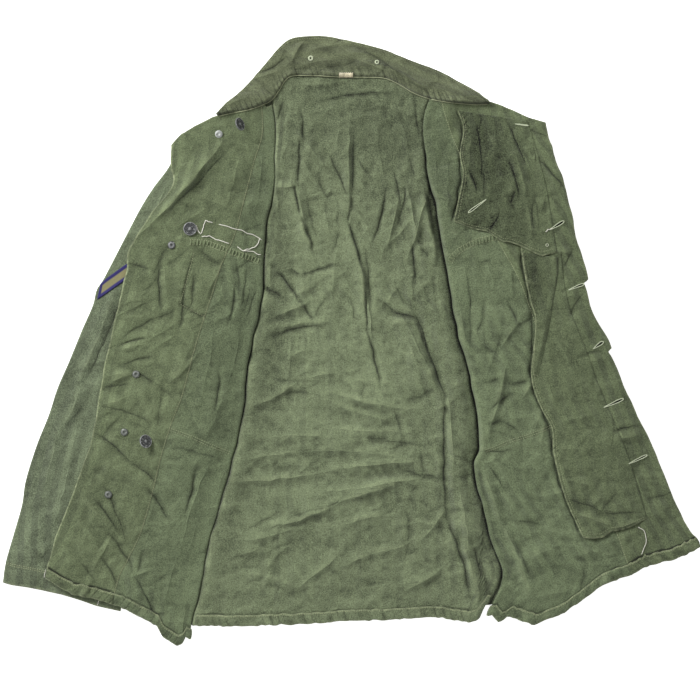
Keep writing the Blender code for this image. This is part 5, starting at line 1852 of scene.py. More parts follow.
@dataclass
class Front:
    """One front: the lower layer on the back, the roll, and the upper layer, inside up."""

    side: Side
    sections: Table
    edges: Table
    relief: Relief
    tones: Table
    rows: int = 300
    row_pitch: float = 2.4
    lower_steps: int = 9
    turn_steps: int = 9
    upper_steps: int = 46
    waver: float = 1.3
    nicks: tuple[tuple[float, float, float], ...] = ()
    flat_edge: float = 26.0
    pressed: float = 0.0
    press_reach: float = 22.0
    pale: tuple[Edge, ...] = ()
    seam_share: float = 0.45
    pocket_rows: tuple[float, float] = (0.276, 0.621)
    pocket_flap_rows: tuple[float, float] = (0.276, 0.414)

    def plan(self) -> None:
        """Works out the plan of both layers from the crosswise sections."""
        self.seam, self.roll, self.facing, self.edge = curves(
            self.sections, "side roll facing edge", self.rows)
        self.way = unit(2 * self.roll - self.seam - self.facing)
        run = np.arange(self.rows) * self.row_pitch
        for line, seed in ((self.roll, 61), (self.edge, 62)):
            line += self.way * self.waver * (line_noise(run / 21, seed)[:, None] * 2 - 1)
        for y, deep, long in self.nicks:
            below = np.maximum(y - self.edge[:, 1], 0)
            self.edge += self.way * (deep * smooth_step(below / 4) * np.exp(-below / long))[:, None]
        centre = self.roll - self.way * ROLL_REACH
        lower, steps = even(self.lower_steps), even(self.upper_steps)
        self.lower_plan = across(self.seam, centre, lower)
        self.upper_plan = np.concatenate([across(centre, self.facing, steps),
                                          across(self.facing, self.edge, steps)[:, 1:]], axis=1)
        along = np.concatenate([steps, 1 + steps[1:]])
        top, hem = (read_off(self.edges, along, name)[None] for name in ("top", "hem"))
        share = even(self.rows - 1)[:, None]
        near_hem = smooth_step(1 - (1 - share) / EDGE_FADE)
        self.upper_plan[..., 1] += top * smooth_step(1 - share / EDGE_FADE) + hem * near_hem
        self.upper_plan[..., 1] += near_hem * HEM_WAVER * wavy(self.upper_plan[..., 0])
        self.lower_plan[..., 1] += hem[:, 0] * lower[None] * near_hem

    def lay(self, layers: Layers) -> None:
        """Lays the front over what is on the pile.

        Args:
            layers: the pile and the sewing.
        """
        self.plan()
        skin = Skin("front_" + self.side.value)
        lower_height = skin.lower_middle(self.lower_plan)
        from_roll = arc_lengths(self.upper_plan, 1)
        to_edge = smooth_step((from_roll[:, -1:] - from_roll) / self.flat_edge)
        relief, lines = self.relief.lie(self.upper_plan)
        height = skin.upper_middle(self.upper_plan) + relief * (0.4 + 0.6 * to_edge)
        near_roll = bell(from_roll / self.press_reach)
        height = height - self.pressed * (height - lower_height[:, -1:]) * near_roll
        lower = with_height(self.lower_plan, lower_height)
        upper = with_height(self.upper_plan, layers.pile.under(self.upper_plan, height))
        roll = half_turn(lower[:, -1], upper[:, 0], self.way, ROLL_REACH, self.turn_steps)
        middle = np.concatenate([lower, roll, upper], axis=1)
        normals = grid_normals(middle)
        if normals[len(normals) // 2, -1, 2] < 0:
            normals = -normals
        self.start = self.lower_steps + 1 + self.turn_steps
        self.cloth = Cloth(middle, normals=normals, worn=(Edge.LAST_COLUMN, Edge.FIRST_ROW),
                           tones=self.tones, wear_reach=0.5)
        for key, mask in lines.items():
            self.cloth.lines[key][:, self.start:] = mask
        layers.pile.add_cloth(self.cloth.moved(0.0, columns=slice(self.start, None)))

    def build(self, layers: Layers) -> None:
        """Makes the front with its hem, its facing and the pocket sewn on its outer face.

        Args:
            layers: the pile and the sewing.
        """
        hem = self.cloth.hemmed(slice(self.start - 5, None))
        add_sheet("front", self.side, [self.cloth, hem], PANEL, "olive_cotton", "back_shell")
        facing = self.cloth.feathered(STEP, slice(self.start + self.upper_steps, None),
                                      (Edge.LAST_COLUMN, Edge.FIRST_ROW) + self.pale)
        facing_hem = facing.turned_up(TURN_UP - 0.6, seed=9)
        add_sheet("facing", self.side, [facing, facing_hem], FACING, "facing_cotton",
                  "front_shell_" + self.side.value)
        layers.pile.add_cloth(facing, hem, facing_hem)
        self._pocket("pocket", self.pocket_rows, self.lower_steps * 2 // 3, -STEP)
        self._pocket("pocket_flap", self.pocket_flap_rows, self.start + 10, -2 * STEP)
        self._stitches(layers, facing.face(), hem.face(), facing_hem.face())

    def _pocket(self, base: str, rows: tuple[float, float], first: int, distance: float) -> None:
        """A piece sewn on the outer face of the front, made from the front's own points.

        Args:
            base: its name.
            rows: from and to which share of the length.
            first: its first column.
            distance: how far it lies off the front.
        """
        low, high = (round(share * (self.rows - 1)) for share in rows)
        last = self.start + round(1.2 * self.upper_steps)
        part = self.cloth.moved(distance, slice(low, high + 1, 2), slice(first, last + 1, 2))
        add_sheet(base, self.side, [part], PANEL, "olive_cotton", "front_shell_" + self.side.value)

    def _stitches(self, layers: Layers, facing: Array, hem: Array, facing_hem: Array) -> None:
        """Sews the hem, the facing's inner line and the pocket's seams, on the faces of the cloth.

        Args:
            layers: the pile and the sewing.
            facing, hem, facing_hem: the faces.
        """
        layers.seams.stitches(hem[1, : self.upper_steps - 1])
        layers.seams.stitches(facing_hem[1, 1:])
        layers.seams.stitches(across(facing[:, 0], facing[:, 1], [self.seam_share])[:, 0], radius=0.36)
        for seam in self.relief.seams:
            points = np.array(seam.points, dtype=float)
            count = int(arc_lengths(points[None], 1)[0, -1] / 2) + 2
            forward = unit(np.gradient(points, axis=0))
            aside = np.stack([-forward[:, 1], forward[:, 0]], -1)
            for offset in seam.rows:
                layers.seams.stitches(layers.on_top(points + aside * offset, count, 0.0), radius=0.34)
            if seam.gathered:
                path = layers.on_top(points, count, 0.0)
                layers.puckers.stitches(path, 4.4, 8.0, 1.15, -0.2, crosswise=True)


@dataclass
class Back:
    """The back: one flat panel, shown from its inside between the rolls of the fronts."""

    relief: Relief
    tones: Table
    hills: Table
    rows: int = 250
    hidden_steps: int = 8
    shown_steps: int = 152
    top_y: float = 340.0
    length: float = 700.0
    crevice: float = 1.4
    crevice_spread: float = 0.33

    def lay(self, layers: Layers, right: Front, left: Front) -> None:
        """Works out the back's grid between the rolls of the two fronts and lays it.

        Args:
            layers: the pile.
            right, left: the fronts, whose plans are known.
        """
        hidden, shown = even(self.hidden_steps), even(self.shown_steps)[1:-1]
        along = even(self.rows - 1)[:, None]
        part = np.array([0] * len(hidden) + [1] * len(shown) + [2] * len(hidden))[None]
        share = np.concatenate([hidden, shown, hidden])[None]
        y = np.repeat(self.top_y - self.length * along, share.shape[1], axis=1)
        for _ in range(6):
            rolls = [self._line(front.roll, y) for front in (right, left)]
            borders = [read_off(BACK_SIDES, y, "right_x"), *rolls, read_off(BACK_SIDES, y, "left_x")]
            x = np.choose(part, borders[:-1]) * (1 - share) + np.choose(part, borders[1:]) * share
            hem = read_off(BACK_HEM, x, "y") + HEM_WAVER * wavy(x)
            y = read_off(BACK_TOP, x, "y") * (1 - along) + hem * along
        plan = np.stack([x, y], -1)
        from_right, from_left = x - rolls[0], rolls[1] - x
        hill = {name: read_off(self.hills, y, name) for name in self.hills}
        steep = np.where(from_left > hill["away"], 1.8 * hill["wide"], hill["wide"])
        relief, lines = self.relief.lie(plan)
        relief = (relief + hill["height"] * (0.35 + 1.3 * line_noise(y / 34, 77))
                  * bell((from_left - hill["away"]) / steep)
                  + hill["right"] * (0.5 + line_noise(y / 26, 79)) * bell((from_right - 10) / 15))
        shown_share = smooth_step(np.minimum(from_right / 3.5, from_left / 5))
        height = Skin("back").upper_middle(plan) + relief * shown_share
        # Painted shadow: a dark line on the back along each roll, where the crevice under the roll lies in
        # shade.
        for apart, name in ((from_left, "dark_left"), (from_right, "dark_right")):
            line = self.crevice_spread * (apart - self.crevice)
            dark = hill[name] * (0.4 + 1.2 * line_noise(y / 15, 78))
            draw_over(lines, line, -dark * bell(line / LINE_REACH))
        self.cloth = Cloth(with_height(plan, np.maximum(height, SHEET / 2)), tones=self.tones,
                           lines=lines)
        layers.pile.add_cloth(self.cloth)

    @staticmethod
    def _line(roll: Array, y: Array) -> Array:
        """The x of a roll line at the heights y up the garment."""
        order = np.argsort(roll[:, 1])
        return np.interp(y, roll[order, 1], roll[order, 0])

    def build(self, layers: Layers) -> None:
        """Makes the back with its hem.

        Args:
            layers: the pile and the sewing.
        """
        hem = self.cloth.hemmed(slice(self.hidden_steps + 2, self.hidden_steps + self.shown_steps - 1), 3)
        add_sheet("back", None, [self.cloth, hem], BACK_COTTON, "olive_cotton")
        layers.pile.add_cloth(hem)
        layers.seams.stitches(hem.face()[1])


@dataclass
class Sleeve:
    """A sleeve pressed flat: a tube open at the armhole and at the cuff."""

    side: Side
    sections: Table
    relief: Relief
    tones: Table
    rows: int = 190
    steps: int = 44
    edge_steps: int = 4
    clear: float = 1.6
    cuff: tuple[tuple[float, ...], tuple[float, ...]] = ((0, 0.06, 0.2, 0.35, 0.5, 0.65, 0.8, 1),
                                                        (-1, -1.4, 0.8, 1.8, 2.4, 1, -1.5, -1))
    cuff_seams: tuple[float, float] = (23.5, 25.5)

    def build(self, layers: Layers) -> None:
        """Makes the sleeve as a tube of cloth over what is on the pile.

        Args:
            layers: the pile and the sewing.
        """
        outer, inner = curves(self.sections, "outer inner", self.rows)
        way = unit(outer - inner)
        shares = even(self.steps)
        plan = across(outer - way * SLEEVE_REACH, inner + way * SLEEVE_REACH, shares)
        near_cuff = smooth_step((even(self.rows - 1) - 0.92) / 0.08)[:, None]
        plan[..., 1] += near_cuff * np.interp(shares, *self.cuff)[None]
        skin = Skin("sleeve_" + self.side.value, soften=1)
        fade = (smooth_step(5 * shares) * smooth_step(5 - 5 * shares))[None]
        low = skin.lower_middle(plan)
        relief, lines = self.relief.lie(plan)
        high = np.maximum(skin.upper_middle(plan) + fade * relief, low + self.clear)
        lower, upper = with_height(plan, low), with_height(plan, high)
        near = half_turn(lower[:, -1], upper[:, -1], -way, SLEEVE_REACH, self.edge_steps)
        far = half_turn(lower[:, 0], upper[:, 0], way, SLEEVE_REACH, self.edge_steps)
        cloth = Cloth(np.concatenate([lower, near, upper[:, ::-1], far[:, ::-1]], axis=1), closed=True,
                      worn=(Edge.LAST_ROW,), tones=self.tones)
        first = self.steps + 1 + self.edge_steps
        shown = slice(first, first + self.steps + 1)
        for key, mask in lines.items():
            cloth.lines[key][:, shown] = mask[:, ::-1]
        add_sheet("sleeve", self.side, [cloth], SLEEVE, "olive_cotton", "back_shell")
        top = Cloth(cloth.middle[:, shown])
        layers.pile.add_cloth(top)
        points, normals = top.at_depth(self.cuff_seams)
        for row in points + normals * SHEET / 2:
            layers.seams.stitches(row, radius=0.42)


@dataclass
class Flap:
    """A loose flap on top of the pile, between its free edge and its sewn edge."""

    name: str
    sections: Table
    rows: int
    steps: int
    rests_on: str
    lower_edge: tuple[tuple[float, ...], tuple[float, ...]] = ((0.0, 1.0), (0.0, 0.0))
    sewn_reach: float = 30.0
    shade: float = 0.0
    shade_reach: float = 30.0
    stitched: bool = True

    def build(self, layers: Layers) -> None:
        """Lays the flap: its height is its solid's, with its own creases, over the pile.

        Args:
            layers: the pile and the sewing.
        """
        shares = even(self.steps)
        plan = across(*curves(self.sections, "free sewn", self.rows), shares)
        low = smooth_step((even(self.rows - 1)[:, None] - 0.6) / 0.4)
        plan[..., 1] -= low * np.interp(shares, *self.lower_edge)[None]
        relief, lines = FLAP_RELIEF.lie(plan)
        height = layers.pile.under(plan, Skin(self.name, soften=1).upper_middle(plan) + relief)
        from_free = arc_lengths(plan, 1)
        apart = from_free[:, -1:] - from_free
        sewn_down = 1 - smooth_step(apart / self.sewn_reach)
        fade = (self.shade * (1 - bell(apart / self.shade_reach)) + patches_of(FRONT_LEFT_TONES, plan)
                + patches_of(FLAP_TONES, plan) * (1 - sewn_down))
        if self.stitched:
            draw_ribs(lines, arc_lengths(plan, 0) + from_free, from_free, 6.5, 7.0, 1.8, 87)
        middle, taper = layers.pile.sewn(plan, height, sewn_down)
        cloth = Cloth(middle, worn=(Edge.FIRST_COLUMN, Edge.LAST_ROW), wear_reach=0.4, taper=taper,
                      fade=fade, lines=lines)
        add_sheet(self.name, None, [cloth], FACING, "flap_cotton", self.rests_on)
        layers.pile.add_cloth(cloth)
        if self.stitched:
            face = cloth.face()
            layers.seams.stitches(face[4:-3, 2], radius=0.24)
            layers.seams.stitches(face[-3, 2:-2], radius=0.24)


@dataclass
class Collar:
    """The opened collar, lapped over the neck edge, with its puckered stand; its two eyelets are worked with
    the buttonholes.
    """

    relief: Relief
    tones: Table
    rows: int = 210
    steps: int = 30
    thickness: float = 1.8
    stand: float = 14.0
    sewn_reach: float = 5.0
    pucker: float = 2.6

    def build(self, layers: Layers) -> None:
        """Lays the collar and sews the neck seam along its lower edge.

        Args:
            layers: the pile and the sewing.
        """
        plan = across(*curves(COLLAR, "seam edge", self.rows), even(self.steps))
        up, along = arc_lengths(plan, 1), arc_lengths(plan, 0)
        ribs = value_noise(along / 4.6, up / 26, 31)
        stand = self.pucker * ribs * bell(up / self.stand) * smooth_step(up / 3)
        relief, lines = self.relief.lie(plan)
        height = Skin("collar").upper_middle(plan) - self.thickness / 2 + SOLID_HALF
        height = layers.pile.under(plan, height + stand + relief * smooth_step(up / 8), self.thickness / 2)
        middle, taper = layers.pile.sewn(plan, height, 1 - smooth_step(up / self.sewn_reach),
                                         self.thickness)
        draw_ribs(lines, along, up, 6.5, self.stand, 2.2, 88)
        draw_ribs(lines, along, up[:, -1:] - up, 8.0, 7.0, 1.2, 90)
        cloth = Cloth(middle, self.thickness, worn=(Edge.LAST_COLUMN,), wear_reach=0.5, taper=taper,
                      tones=self.tones, lines=lines)
        add_sheet("collar", None, [cloth], COLLAR_COTTON, "collar_cotton", "back_shell")
        layers.pile.add_cloth(cloth)
        face = cloth.face()
        layers.seams.add(*tube(face[:, 1] + 0.3 * UP, 0.5))
        layers.seams.stitches(face[4:-4, -3], radius=0.24)


@dataclass
class Label:
    """What is left of the neck label: a small plain frayed tab of tape."""

    left: float = -14.0
    right: float = 4.0
    low: float = 342.2
    high: float = 348.2

    def build(self, layers: Layers) -> None:
        """Lays the tab on the collar; its upper edge is frayed by a short wave.

        Args:
            layers: the pile and the sewing.
        """
        x, y = np.meshgrid(np.linspace(self.left, self.right, 25), np.linspace(self.low, self.high, 9))
        share = (y - self.low) / (self.high - self.low)
        y = y + share * 0.5 * np.sin(x * 2.3) - 0.3
        plan = np.stack([x, y], -1)
        height = blurred(layers.pile.surface_at(plan), 2) + 0.55 + 0.12 * np.sin(x * 1.1)
        cloth = Cloth(with_height(plan, height), 0.6, worn=(Edge.LAST_ROW,))
        add_sheet("neck_label", None, [cloth], TAPE, "label_tape", "collar_shell")


@dataclass
class Stripe:
    """The stripe sewn round the right sleeve."""

    rows: int = 60
    steps: int = 14
    rim: float = 3.4

    def build(self, layers: Layers) -> None:
        """Lays the strip on the sleeve, its embroidered border a little raised.

        Args:
            layers: the pile and the sewing.
        """
        plan = across(*curves(SLEEVE_STRIPE, "low high", self.rows), even(self.steps))
        aside, along = arc_lengths(plan, 1), arc_lengths(plan, 0)
        apart = np.minimum(np.minimum(aside, aside[:, -1:] - aside), along)
        rise = 0.5 * bell((apart - self.rim / 2) / 1.2)
        height = blurred(layers.pile.surface_at(plan), 2) + 0.6 + rise
        cloth = Cloth(with_height(plan, height), 0.9, wear=np.exp(-apart / self.rim))
        add_sheet("sleeve_stripe", None, [cloth], STRIPE_BRAID, "stripe_braid", "sleeve_shell_right")
        layers.pile.add_cloth(cloth)


@dataclass
class Buttonholes:
    """Worked buttonholes: a ring of satin stitches round a slit that is open at its head."""

    slits: tuple[tuple[float, float, float, float, float], ...] = (
        (176, 183, 153, 166, 2.1), (259, 144, 277, 155, 2.8), (283, 66, 303, 74, 2.4),
        (315, -10, 328, -1, 3.0), (329, -86, 354, -75, 2.6), (361, -159, 385, -148, 2.3),
        (214, 281, 231, 279, 0.9))
    eyelets: tuple[tuple[float, float, float, float], ...] = (
        (-51, 367, 2.4, 1.4), (35, 362, 2.1, 1.1), (255, 124, 1.6, 0.6))
    pointed: float = 0.8
    bead: float = 0.62
    steps: int = 96
    sides: int = 8
    ribs: int = 30
    open_at: float = 0.62

    def build(self, layers: Layers) -> None:
        """Works each ring, and a dark patch of painted shade in the slit inside it, on the cloth below.

        Args:
            layers: the pile and the sewing.
        """
        dark, worked = Sewing(), Sewing()
        rings = [(*slit, self.pointed, self.bead) for slit in self.slits]
        rings += [(x, y - radius, x, y + radius, radius, 0.0, bead) for x, y, radius, bead in self.eyelets]
        for x1, y1, x2, y2, *shape in rings:
            self._ring(layers, dark, worked, np.array([x1, y1]), np.array([x2, y2]), *shape)
        dark.make("buttonhole_slit_shade", HOLE_SHADE, "flap_cotton")
        worked.make("worked_buttonholes", WORKED_THREAD, "label_tape")

    def _ring(self, layers: Layers, dark: Sewing, worked: Sewing, tail: Array, head: Array, half: float,
              pointed: float, bead: float) -> None:
        """One ring: a drop, narrow at its tail and round at its head.

        Args:
            layers: the pile it lies on.
            dark, worked: the sewing that takes the slit and the ring.
            tail, head: its two ends.
            dark, worked: the sewing that takes the slit's painted shade and the ring.
            pointed: how far it narrows towards its tail.
            bead: half the thickness of the ring.
        """
        turn = round_steps(self.steps)
        run = head - tail
        forward = run / np.linalg.norm(run)
        aside = np.array([-forward[1], forward[0]])
        along = (1 + np.cos(turn)) / 2
        narrow = 1 - pointed * (1 - along) ** 0.7
        uneven = 1 + 0.25 * (value_noise(along * 4 + half * 9, np.sign(np.sin(turn)), 83) - 0.5)
        path = tail + run * along[:, None] + aside * (half * np.sin(turn) * narrow * uneven)[:, None]
        base = layers.pile.surface_at(path)
        ring = with_height(path, np.maximum(base, np.median(base) - 0.6) + 0.3)
        ahead = unit(np.roll(ring, -1, axis=0) - np.roll(ring, 1, axis=0))
        out = unit(np.cross(ahead, UP))[:, None]
        angle = round_steps(self.sides)[None, :, None]
        rib = (bead * (0.86 + 0.14 * np.sin(turn * self.ribs)))[:, None, None]
        thread = ring[:, None] + rib * (out * np.cos(angle) + 0.8 * UP * np.sin(angle))
        index = np.arange(self.sides)
        after, last = np.roll(index, -1), self.sides * (self.steps - 1)
        worked.add(thread.reshape(-1, 3), np.concatenate([
            patch_faces(self.steps, self.sides, True),
            np.stack([last + index, last + after, after, index], -1)]))
        # Painted shade: a dark lens-shaped patch inside the ring, at its open end, stands for the shade in
        # the slit.
        middle = tail + run * self.open_at
        inner = path + (middle - path) * 0.22
        peak = layers.pile.surface_at(middle[None])[0]
        rim = with_height(inner, layers.pile.surface_at(inner) + 0.3)
        dark.add(*capped(np.stack([rim - 0.12 * UP, rim]), [(*middle, peak + 0.18), (*middle, peak + 0.36)]))


@dataclass
class LooseThreads:
    """Basting left round the chest and a few loose ends."""

    basting: tuple[tuple[tuple[float, float], ...], ...] = (
        ((-187, 156), (-178, 153)),
        ((-170, 151), (-150, 146), (-137, 142), (-120, 134), (-111, 130)),
        ((-187, 156), (-190, 147), (-192, 139)),
        ((-199, 150), (-197, 144), (-193, 138)),
        ((-192, 135), (-182, 135), (-169, 130), (-156, 126)),
        ((-146, 122), (-138, 117), (-127, 116), (-120, 113), (-111, 110)),
        ((-138, 117), (-127, 121), (-120, 125), (-117, 133)))
    ends: tuple[tuple[tuple[float, float], ...], ...] = (
        ((373, -241), (381, -246), (384, -259), (381, -269), (378, -277)),
        ((-394, -296), (-396, -301), (-397, -307)),
        ((-326, -337), (-327, -340), (-328, -343)),
        ((253, 141), (257, 144), (262, 146)))

    def build(self, layers: Layers) -> None:
        """Lays each thread on the cloth, humped a little between the places where it is caught.

        Args:
            layers: the pile and the sewing.
        """
        for lines, radius, hump in ((self.basting, 0.5, 0.4), (self.ends, 0.42, 0.3)):
            for number, line in enumerate(lines):
                path = layers.on_top(line, 40, radius)
                share = even(len(path) - 1)
                path[:, 2] = blurred(path[:, 2][None], 1)[0] + hump * np.sin(np.pi * share)
                wobble = line_noise(share * 9 + number * 7, 17) - 0.5
                path[:, 1] += 2.4 * wobble * np.sin(np.pi * share)
                layers.white.add(*tube(path, radius))


@dataclass
class TackButtons:
    """Tack buttons: caps on the facing, faces on its inside and under the cloth."""

    caps: tuple[tuple[float, float], ...] = (
        (-170, 268), (-231, 124), (-277, -43), (-292, -118), (-313, -199))
    faces: tuple[tuple[float, float, float], ...] = ((-144, 280, 54), (-207, 145, 6), (-265, -130, 33))
    cap_radius: float = 4.9
    cap_height: float = 1.6
    face_radius: float = 8.8
    face_height: float = 3.0
    lean_way: tuple[float, float] = (1.0, 0.35)

    def build(self, layers: Layers) -> None:
        """Makes every button on the cloth below it.

        Args:
            layers: the pile and the sewing.
        """
        r, h = self.cap_radius, self.cap_height
        cap = [(0.9 * r, 0.0), (r, 0.15 * h), (r, 0.45 * h), (0.94 * r, 0.62 * h), (0.86 * r, 0.6 * h),
               (0.8 * r, 0.72 * h), (0.66 * r, 0.95 * h), (0.48 * r, h), (0.36 * r, 0.93 * h),
               (0.3 * r, 0.62 * h), (0.16 * r, 0.55 * h)]
        finishes = (PALE_METAL, DARK_METAL, CAP_METAL, CAP_METAL, CAP_METAL)
        for number, ((x, y), finish) in enumerate(zip(self.caps, finishes), start=1):
            points, faces = turned(cap)
            # Painted highlight, partly worn paint: a band round the cap's dome takes the second metal colour.
            bright = 0.45 * bell((np.hypot(points[:, 0], points[:, 1]) - 0.6 * r) / (0.22 * r))
            beside_it = np.array([[x, y], [x + 3, y], [x - 3, y], [x, y + 3], [x, y - 3]])
            points = points + np.array([x, y, layers.pile.surface_at(beside_it).max() + 0.1])
            piece = add_mesh(f"cap_{number}", points, faces, finish, {"rim": bright})
            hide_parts(f"button_back_{number}")
            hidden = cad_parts[f"front_button_{number}"].data.materials
            hidden.clear()
            hidden.append(DARK_METAL.material())
        for number, (x, y, lean) in enumerate(self.faces, start=1):
            points, faces = self._face()
            far = np.hypot(points[:, 0], points[:, 1]) / self.face_radius
            raised = (points[:, 2] > 0.89 * self.face_height) * (far < 0.8)
            # Painted highlight, partly worn paint: the face's rim and its raised dots.
            bright = 0.7 * bell((far - 0.93) / 0.05) + 0.4 * raised
            ground = layers.pile.top_at(np.array([[x, y]]), 3)[0]
            points = self._leaned(points, lean) + np.array([x, y, ground + 0.2])
            piece = add_mesh(f"button_face_{number}", points, faces, DARK_METAL,
                             {"rim": bright})
            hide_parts(f"inside_button_{number}")

    def _face(self) -> tuple[Array, Array]:
        """A button's face: a dished disc with a rim, rings of raised dots and a plain boss.

        Returns:
            Its points, and its faces as four point numbers.
        """
        r, h = self.face_radius, self.face_height
        disc = [(0.3 * r, 0.0), (0.3 * r, 0.35 * h), (0.82 * r, 0.38 * h), (0.95 * r, 0.48 * h),
                (r, 0.66 * h), (0.98 * r, 0.86 * h), (0.92 * r, h), (0.86 * r, 0.97 * h),
                (0.82 * r, 0.8 * h), (0.5 * r, 0.84 * h), (0.24 * r, 0.86 * h), (0.2 * r, h),
                (0.1 * r, 1.08 * h)]
        shapes = Sewing()
        shapes.add(*turned(disc, 56))
        dot, faces = turned([(0.5, -0.2), (0.5, 0.1), (0.32, 0.34)], 7)
        for ring, number in ((0.7, 20), (0.52, 14), (0.35, 8)):
            for angle in round_steps(number) + ring:
                shapes.add(dot + r * ring * np.array([math.cos(angle), math.sin(angle), 0.0])
                           + 0.85 * h * UP, faces)
        return np.concatenate(shapes.points), np.concatenate(shapes.faces)

    def _leaned(self, points: Array, lean: float) -> Array:
        """Points tipped by an angle towards one side and set down again.

        Args:
            points: the points.
            lean: the angle, in degrees.

        Returns:
            The tipped points.
        """
        tilt = math.radians(lean)
        to_x, to_y = unit(np.array(self.lean_way))
        ahead = points[:, 0] * to_x + points[:, 1] * to_y
        aside = points[:, 1] * to_x - points[:, 0] * to_y
        tipped = ahead * math.cos(tilt) + points[:, 2] * math.sin(tilt)
        height = points[:, 2] * math.cos(tilt) - ahead * math.sin(tilt)
        return np.stack([tipped * to_x - aside * to_y, tipped * to_y + aside * to_x,
                         height - height.min()], -1)


# ---------------------------------------------------------------- what lies on each panel

BACK_RELIEF = Relief(joined(
    BACK_CREASES, scattered(101, 34, (-100, 20, 120, 230), 95, 26),
    scattered(102, 44, (-150, -340, 130, -20), 12, 26), scattered(103, 16, (60, -300, 170, 200), 95, 18)), (
    Facets(11, 40, 2.9, 96, 2.4, from_y=-40), Facets(12, 34, 3.2, 14, 2.4, to_y=30),
    Facets(13, 24, -1.9, 78, 2.0, from_y=-60), Facets(14, 22, -1.9, 168, 2.2, to_y=40),
    Crumple(15, 16, 1.2, 30), Crumple(16, 8, 0.5)), ground=1.4)
FRONT_RIGHT_RELIEF = Relief(joined(
    FRONT_RIGHT_CREASES, scattered(111, 60, (-380, -370, -100, 260), 20, 40, 1.1)), (
    Facets(21, 36, 2.8, 150, 1.8), Facets(22, 24, -1.4, 20, 1.8), Crumple(23, 16, 0.9),
    Crumple(24, 8, 0.45)), (
    Seam(((-208, 128), (-188, 127), (-169, 121), (-150, 114), (-130, 108), (-112, 100)),
         groove=0.5, pucker=1.6, reach=4.5, pitch=7.0, rows=(-3.2, 3.2), gathered=True),
    Seam(((-202, 114), (-211, 79), (-220, 49)), groove=1.3, width=1.6, pucker=1.8, reach=5.5),
    Seam(((-220, 48), (-204, 39), (-187, 31)), groove=1.3, width=1.6, pucker=1.8, reach=5.5),
    Seam(((-233, -116), (-205, -126), (-180, -137), (-153, -148)), groove=0.8, pucker=1.3,
         rows=(0.0, 3.0))))
FRONT_LEFT_RELIEF = Relief(joined(
    FRONT_LEFT_CREASES, beside(column(GAS_FLAP_UPPER, "free"), 1.6, 3, -2.2),
    beside(column(GAS_FLAP_LOWER, "free"), 1.6, 3, -2.0, 16),
    scattered(121, 60, (120, -330, 420, 260), 150, 40, 0.8)), (
    Facets(31, 36, 2.6, 66, 1.8), Facets(32, 24, -1.5, 160, 1.8), Crumple(33, 16, 1.0),
    Crumple(34, 8, 0.45)), (
    Seam(((129, 101), (133, 109), (143, 118), (156, 125), (169, 130), (190, 134)),
         groove=0.5, pucker=1.6, reach=4.5, pitch=7.0, rows=(-3.2, 3.2), gathered=True),
    Seam(((176, -144), (189, -139), (208, -131), (228, -125), (247, -118), (261, -112)),
         groove=0.8, pucker=1.3, rows=(0.0, 3.0))))
SLEEVE_RIGHT_RELIEF = Relief(joined(
    SLEEVE_CREASES, scattered(131, 34, (-440, -320, -280, 150), 70, 30, 0.55)), (
    Facets(41, 32, 0.5, 66, 2.6), Crumple(42, 17, 0.5, 60, 1.6), Crumple(43, 9, 0.4)), ground=0.4)
SLEEVE_LEFT_RELIEF = Relief(NO_CREASES, (Crumple(45, 36, 1.0, 110, 2.0),), ground=0.0)
FLAP_RELIEF = Relief(joined(
    FLAP_CREASES, scattered(141, 30, (150, -230, 380, 280), 110, 40, 1.2)), (
    Facets(51, 30, 2.0, 70, 1.8), Facets(52, 20, -1.2, 20, 1.6), Crumple(53, 9, 0.6)), ground=0.6)
COLLAR_RELIEF = Relief(joined(
    COLLAR_CREASES, scattered(151, 22, (-150, 300, 150, 390), 15, 35, 1.1)), (
    Facets(61, 28, 1.8, 5, 1.9), Crumple(62, 12, 0.8)), ground=0.3)

# ---------------------------------------------------------------- paler and darker places

TONE_COLUMNS = "x y wide tall tone"
BACK_TONES = table(TONE_COLUMNS, [
    (0, 300, 150, 95, -0.31), (55, 200, 60, 90, -0.10), (-70, 230, 30, 60, 0.06), (0, -60, 90, 110, 0.10),
    (-84, 130, 14, 90, -0.12), (-100, 20, 26, 120, -0.28), (-150, -180, 22, 90, -0.14),
    (100, -150, 40, 130, -0.12), (140, -230, 30, 120, -0.08),
    (-60, -200, 70, 60, 0.06), (20, -290, 120, 60, -0.04), (90, 90, 30, 120, -0.10),
    (150, 60, 22, 200, -0.16), (-60, 120, 40, 60, 0.08),
])
FRONT_RIGHT_TONES = table(TONE_COLUMNS, [
    (-170, 210, 60, 40, -0.16), (-225, 245, 26, 26, 0.12), (-255, 165, 30, 22, 0.12),
    (-235, 60, 60, 60, -0.06), (-300, -60, 40, 120, 0.02), (-170, 0, 40, 90, -0.08),
    (-320, -230, 50, 80, -0.05), (-215, -250, 40, 110, 0.06), (-125, 210, 22, 80, -0.02),
    (-270, -290, 40, 40, -0.08), (-122, 60, 18, 70, -0.14), (-330, -205, 34, 12, -0.14),
])
FRONT_LEFT_TONES = table(TONE_COLUMNS, [
    (115, 220, 30, 100, -0.24), (200, 20, 60, 60, 0.02), (185, 70, 40, 40, 0.10), (220, -80, 50, 60, 0.06),
    (240, -230, 60, 90, 0.09), (330, -60, 50, 90, -0.04), (360, -150, 50, 70, -0.05),
    (320, 60, 30, 80, -0.06), (290, 200, 30, 60, 0.00), (195, -290, 26, 60, -0.08),
    (400, -230, 50, 40, -0.04),
])
FLAP_TONES = table(TONE_COLUMNS, [
    (180, 250, 30, 50, -0.06), (150, 200, 18, 30, 0.06), (300, -90, 50, 90, -0.08),
    (310, -210, 60, 26, -0.14), (250, 60, 20, 60, -0.06),
])
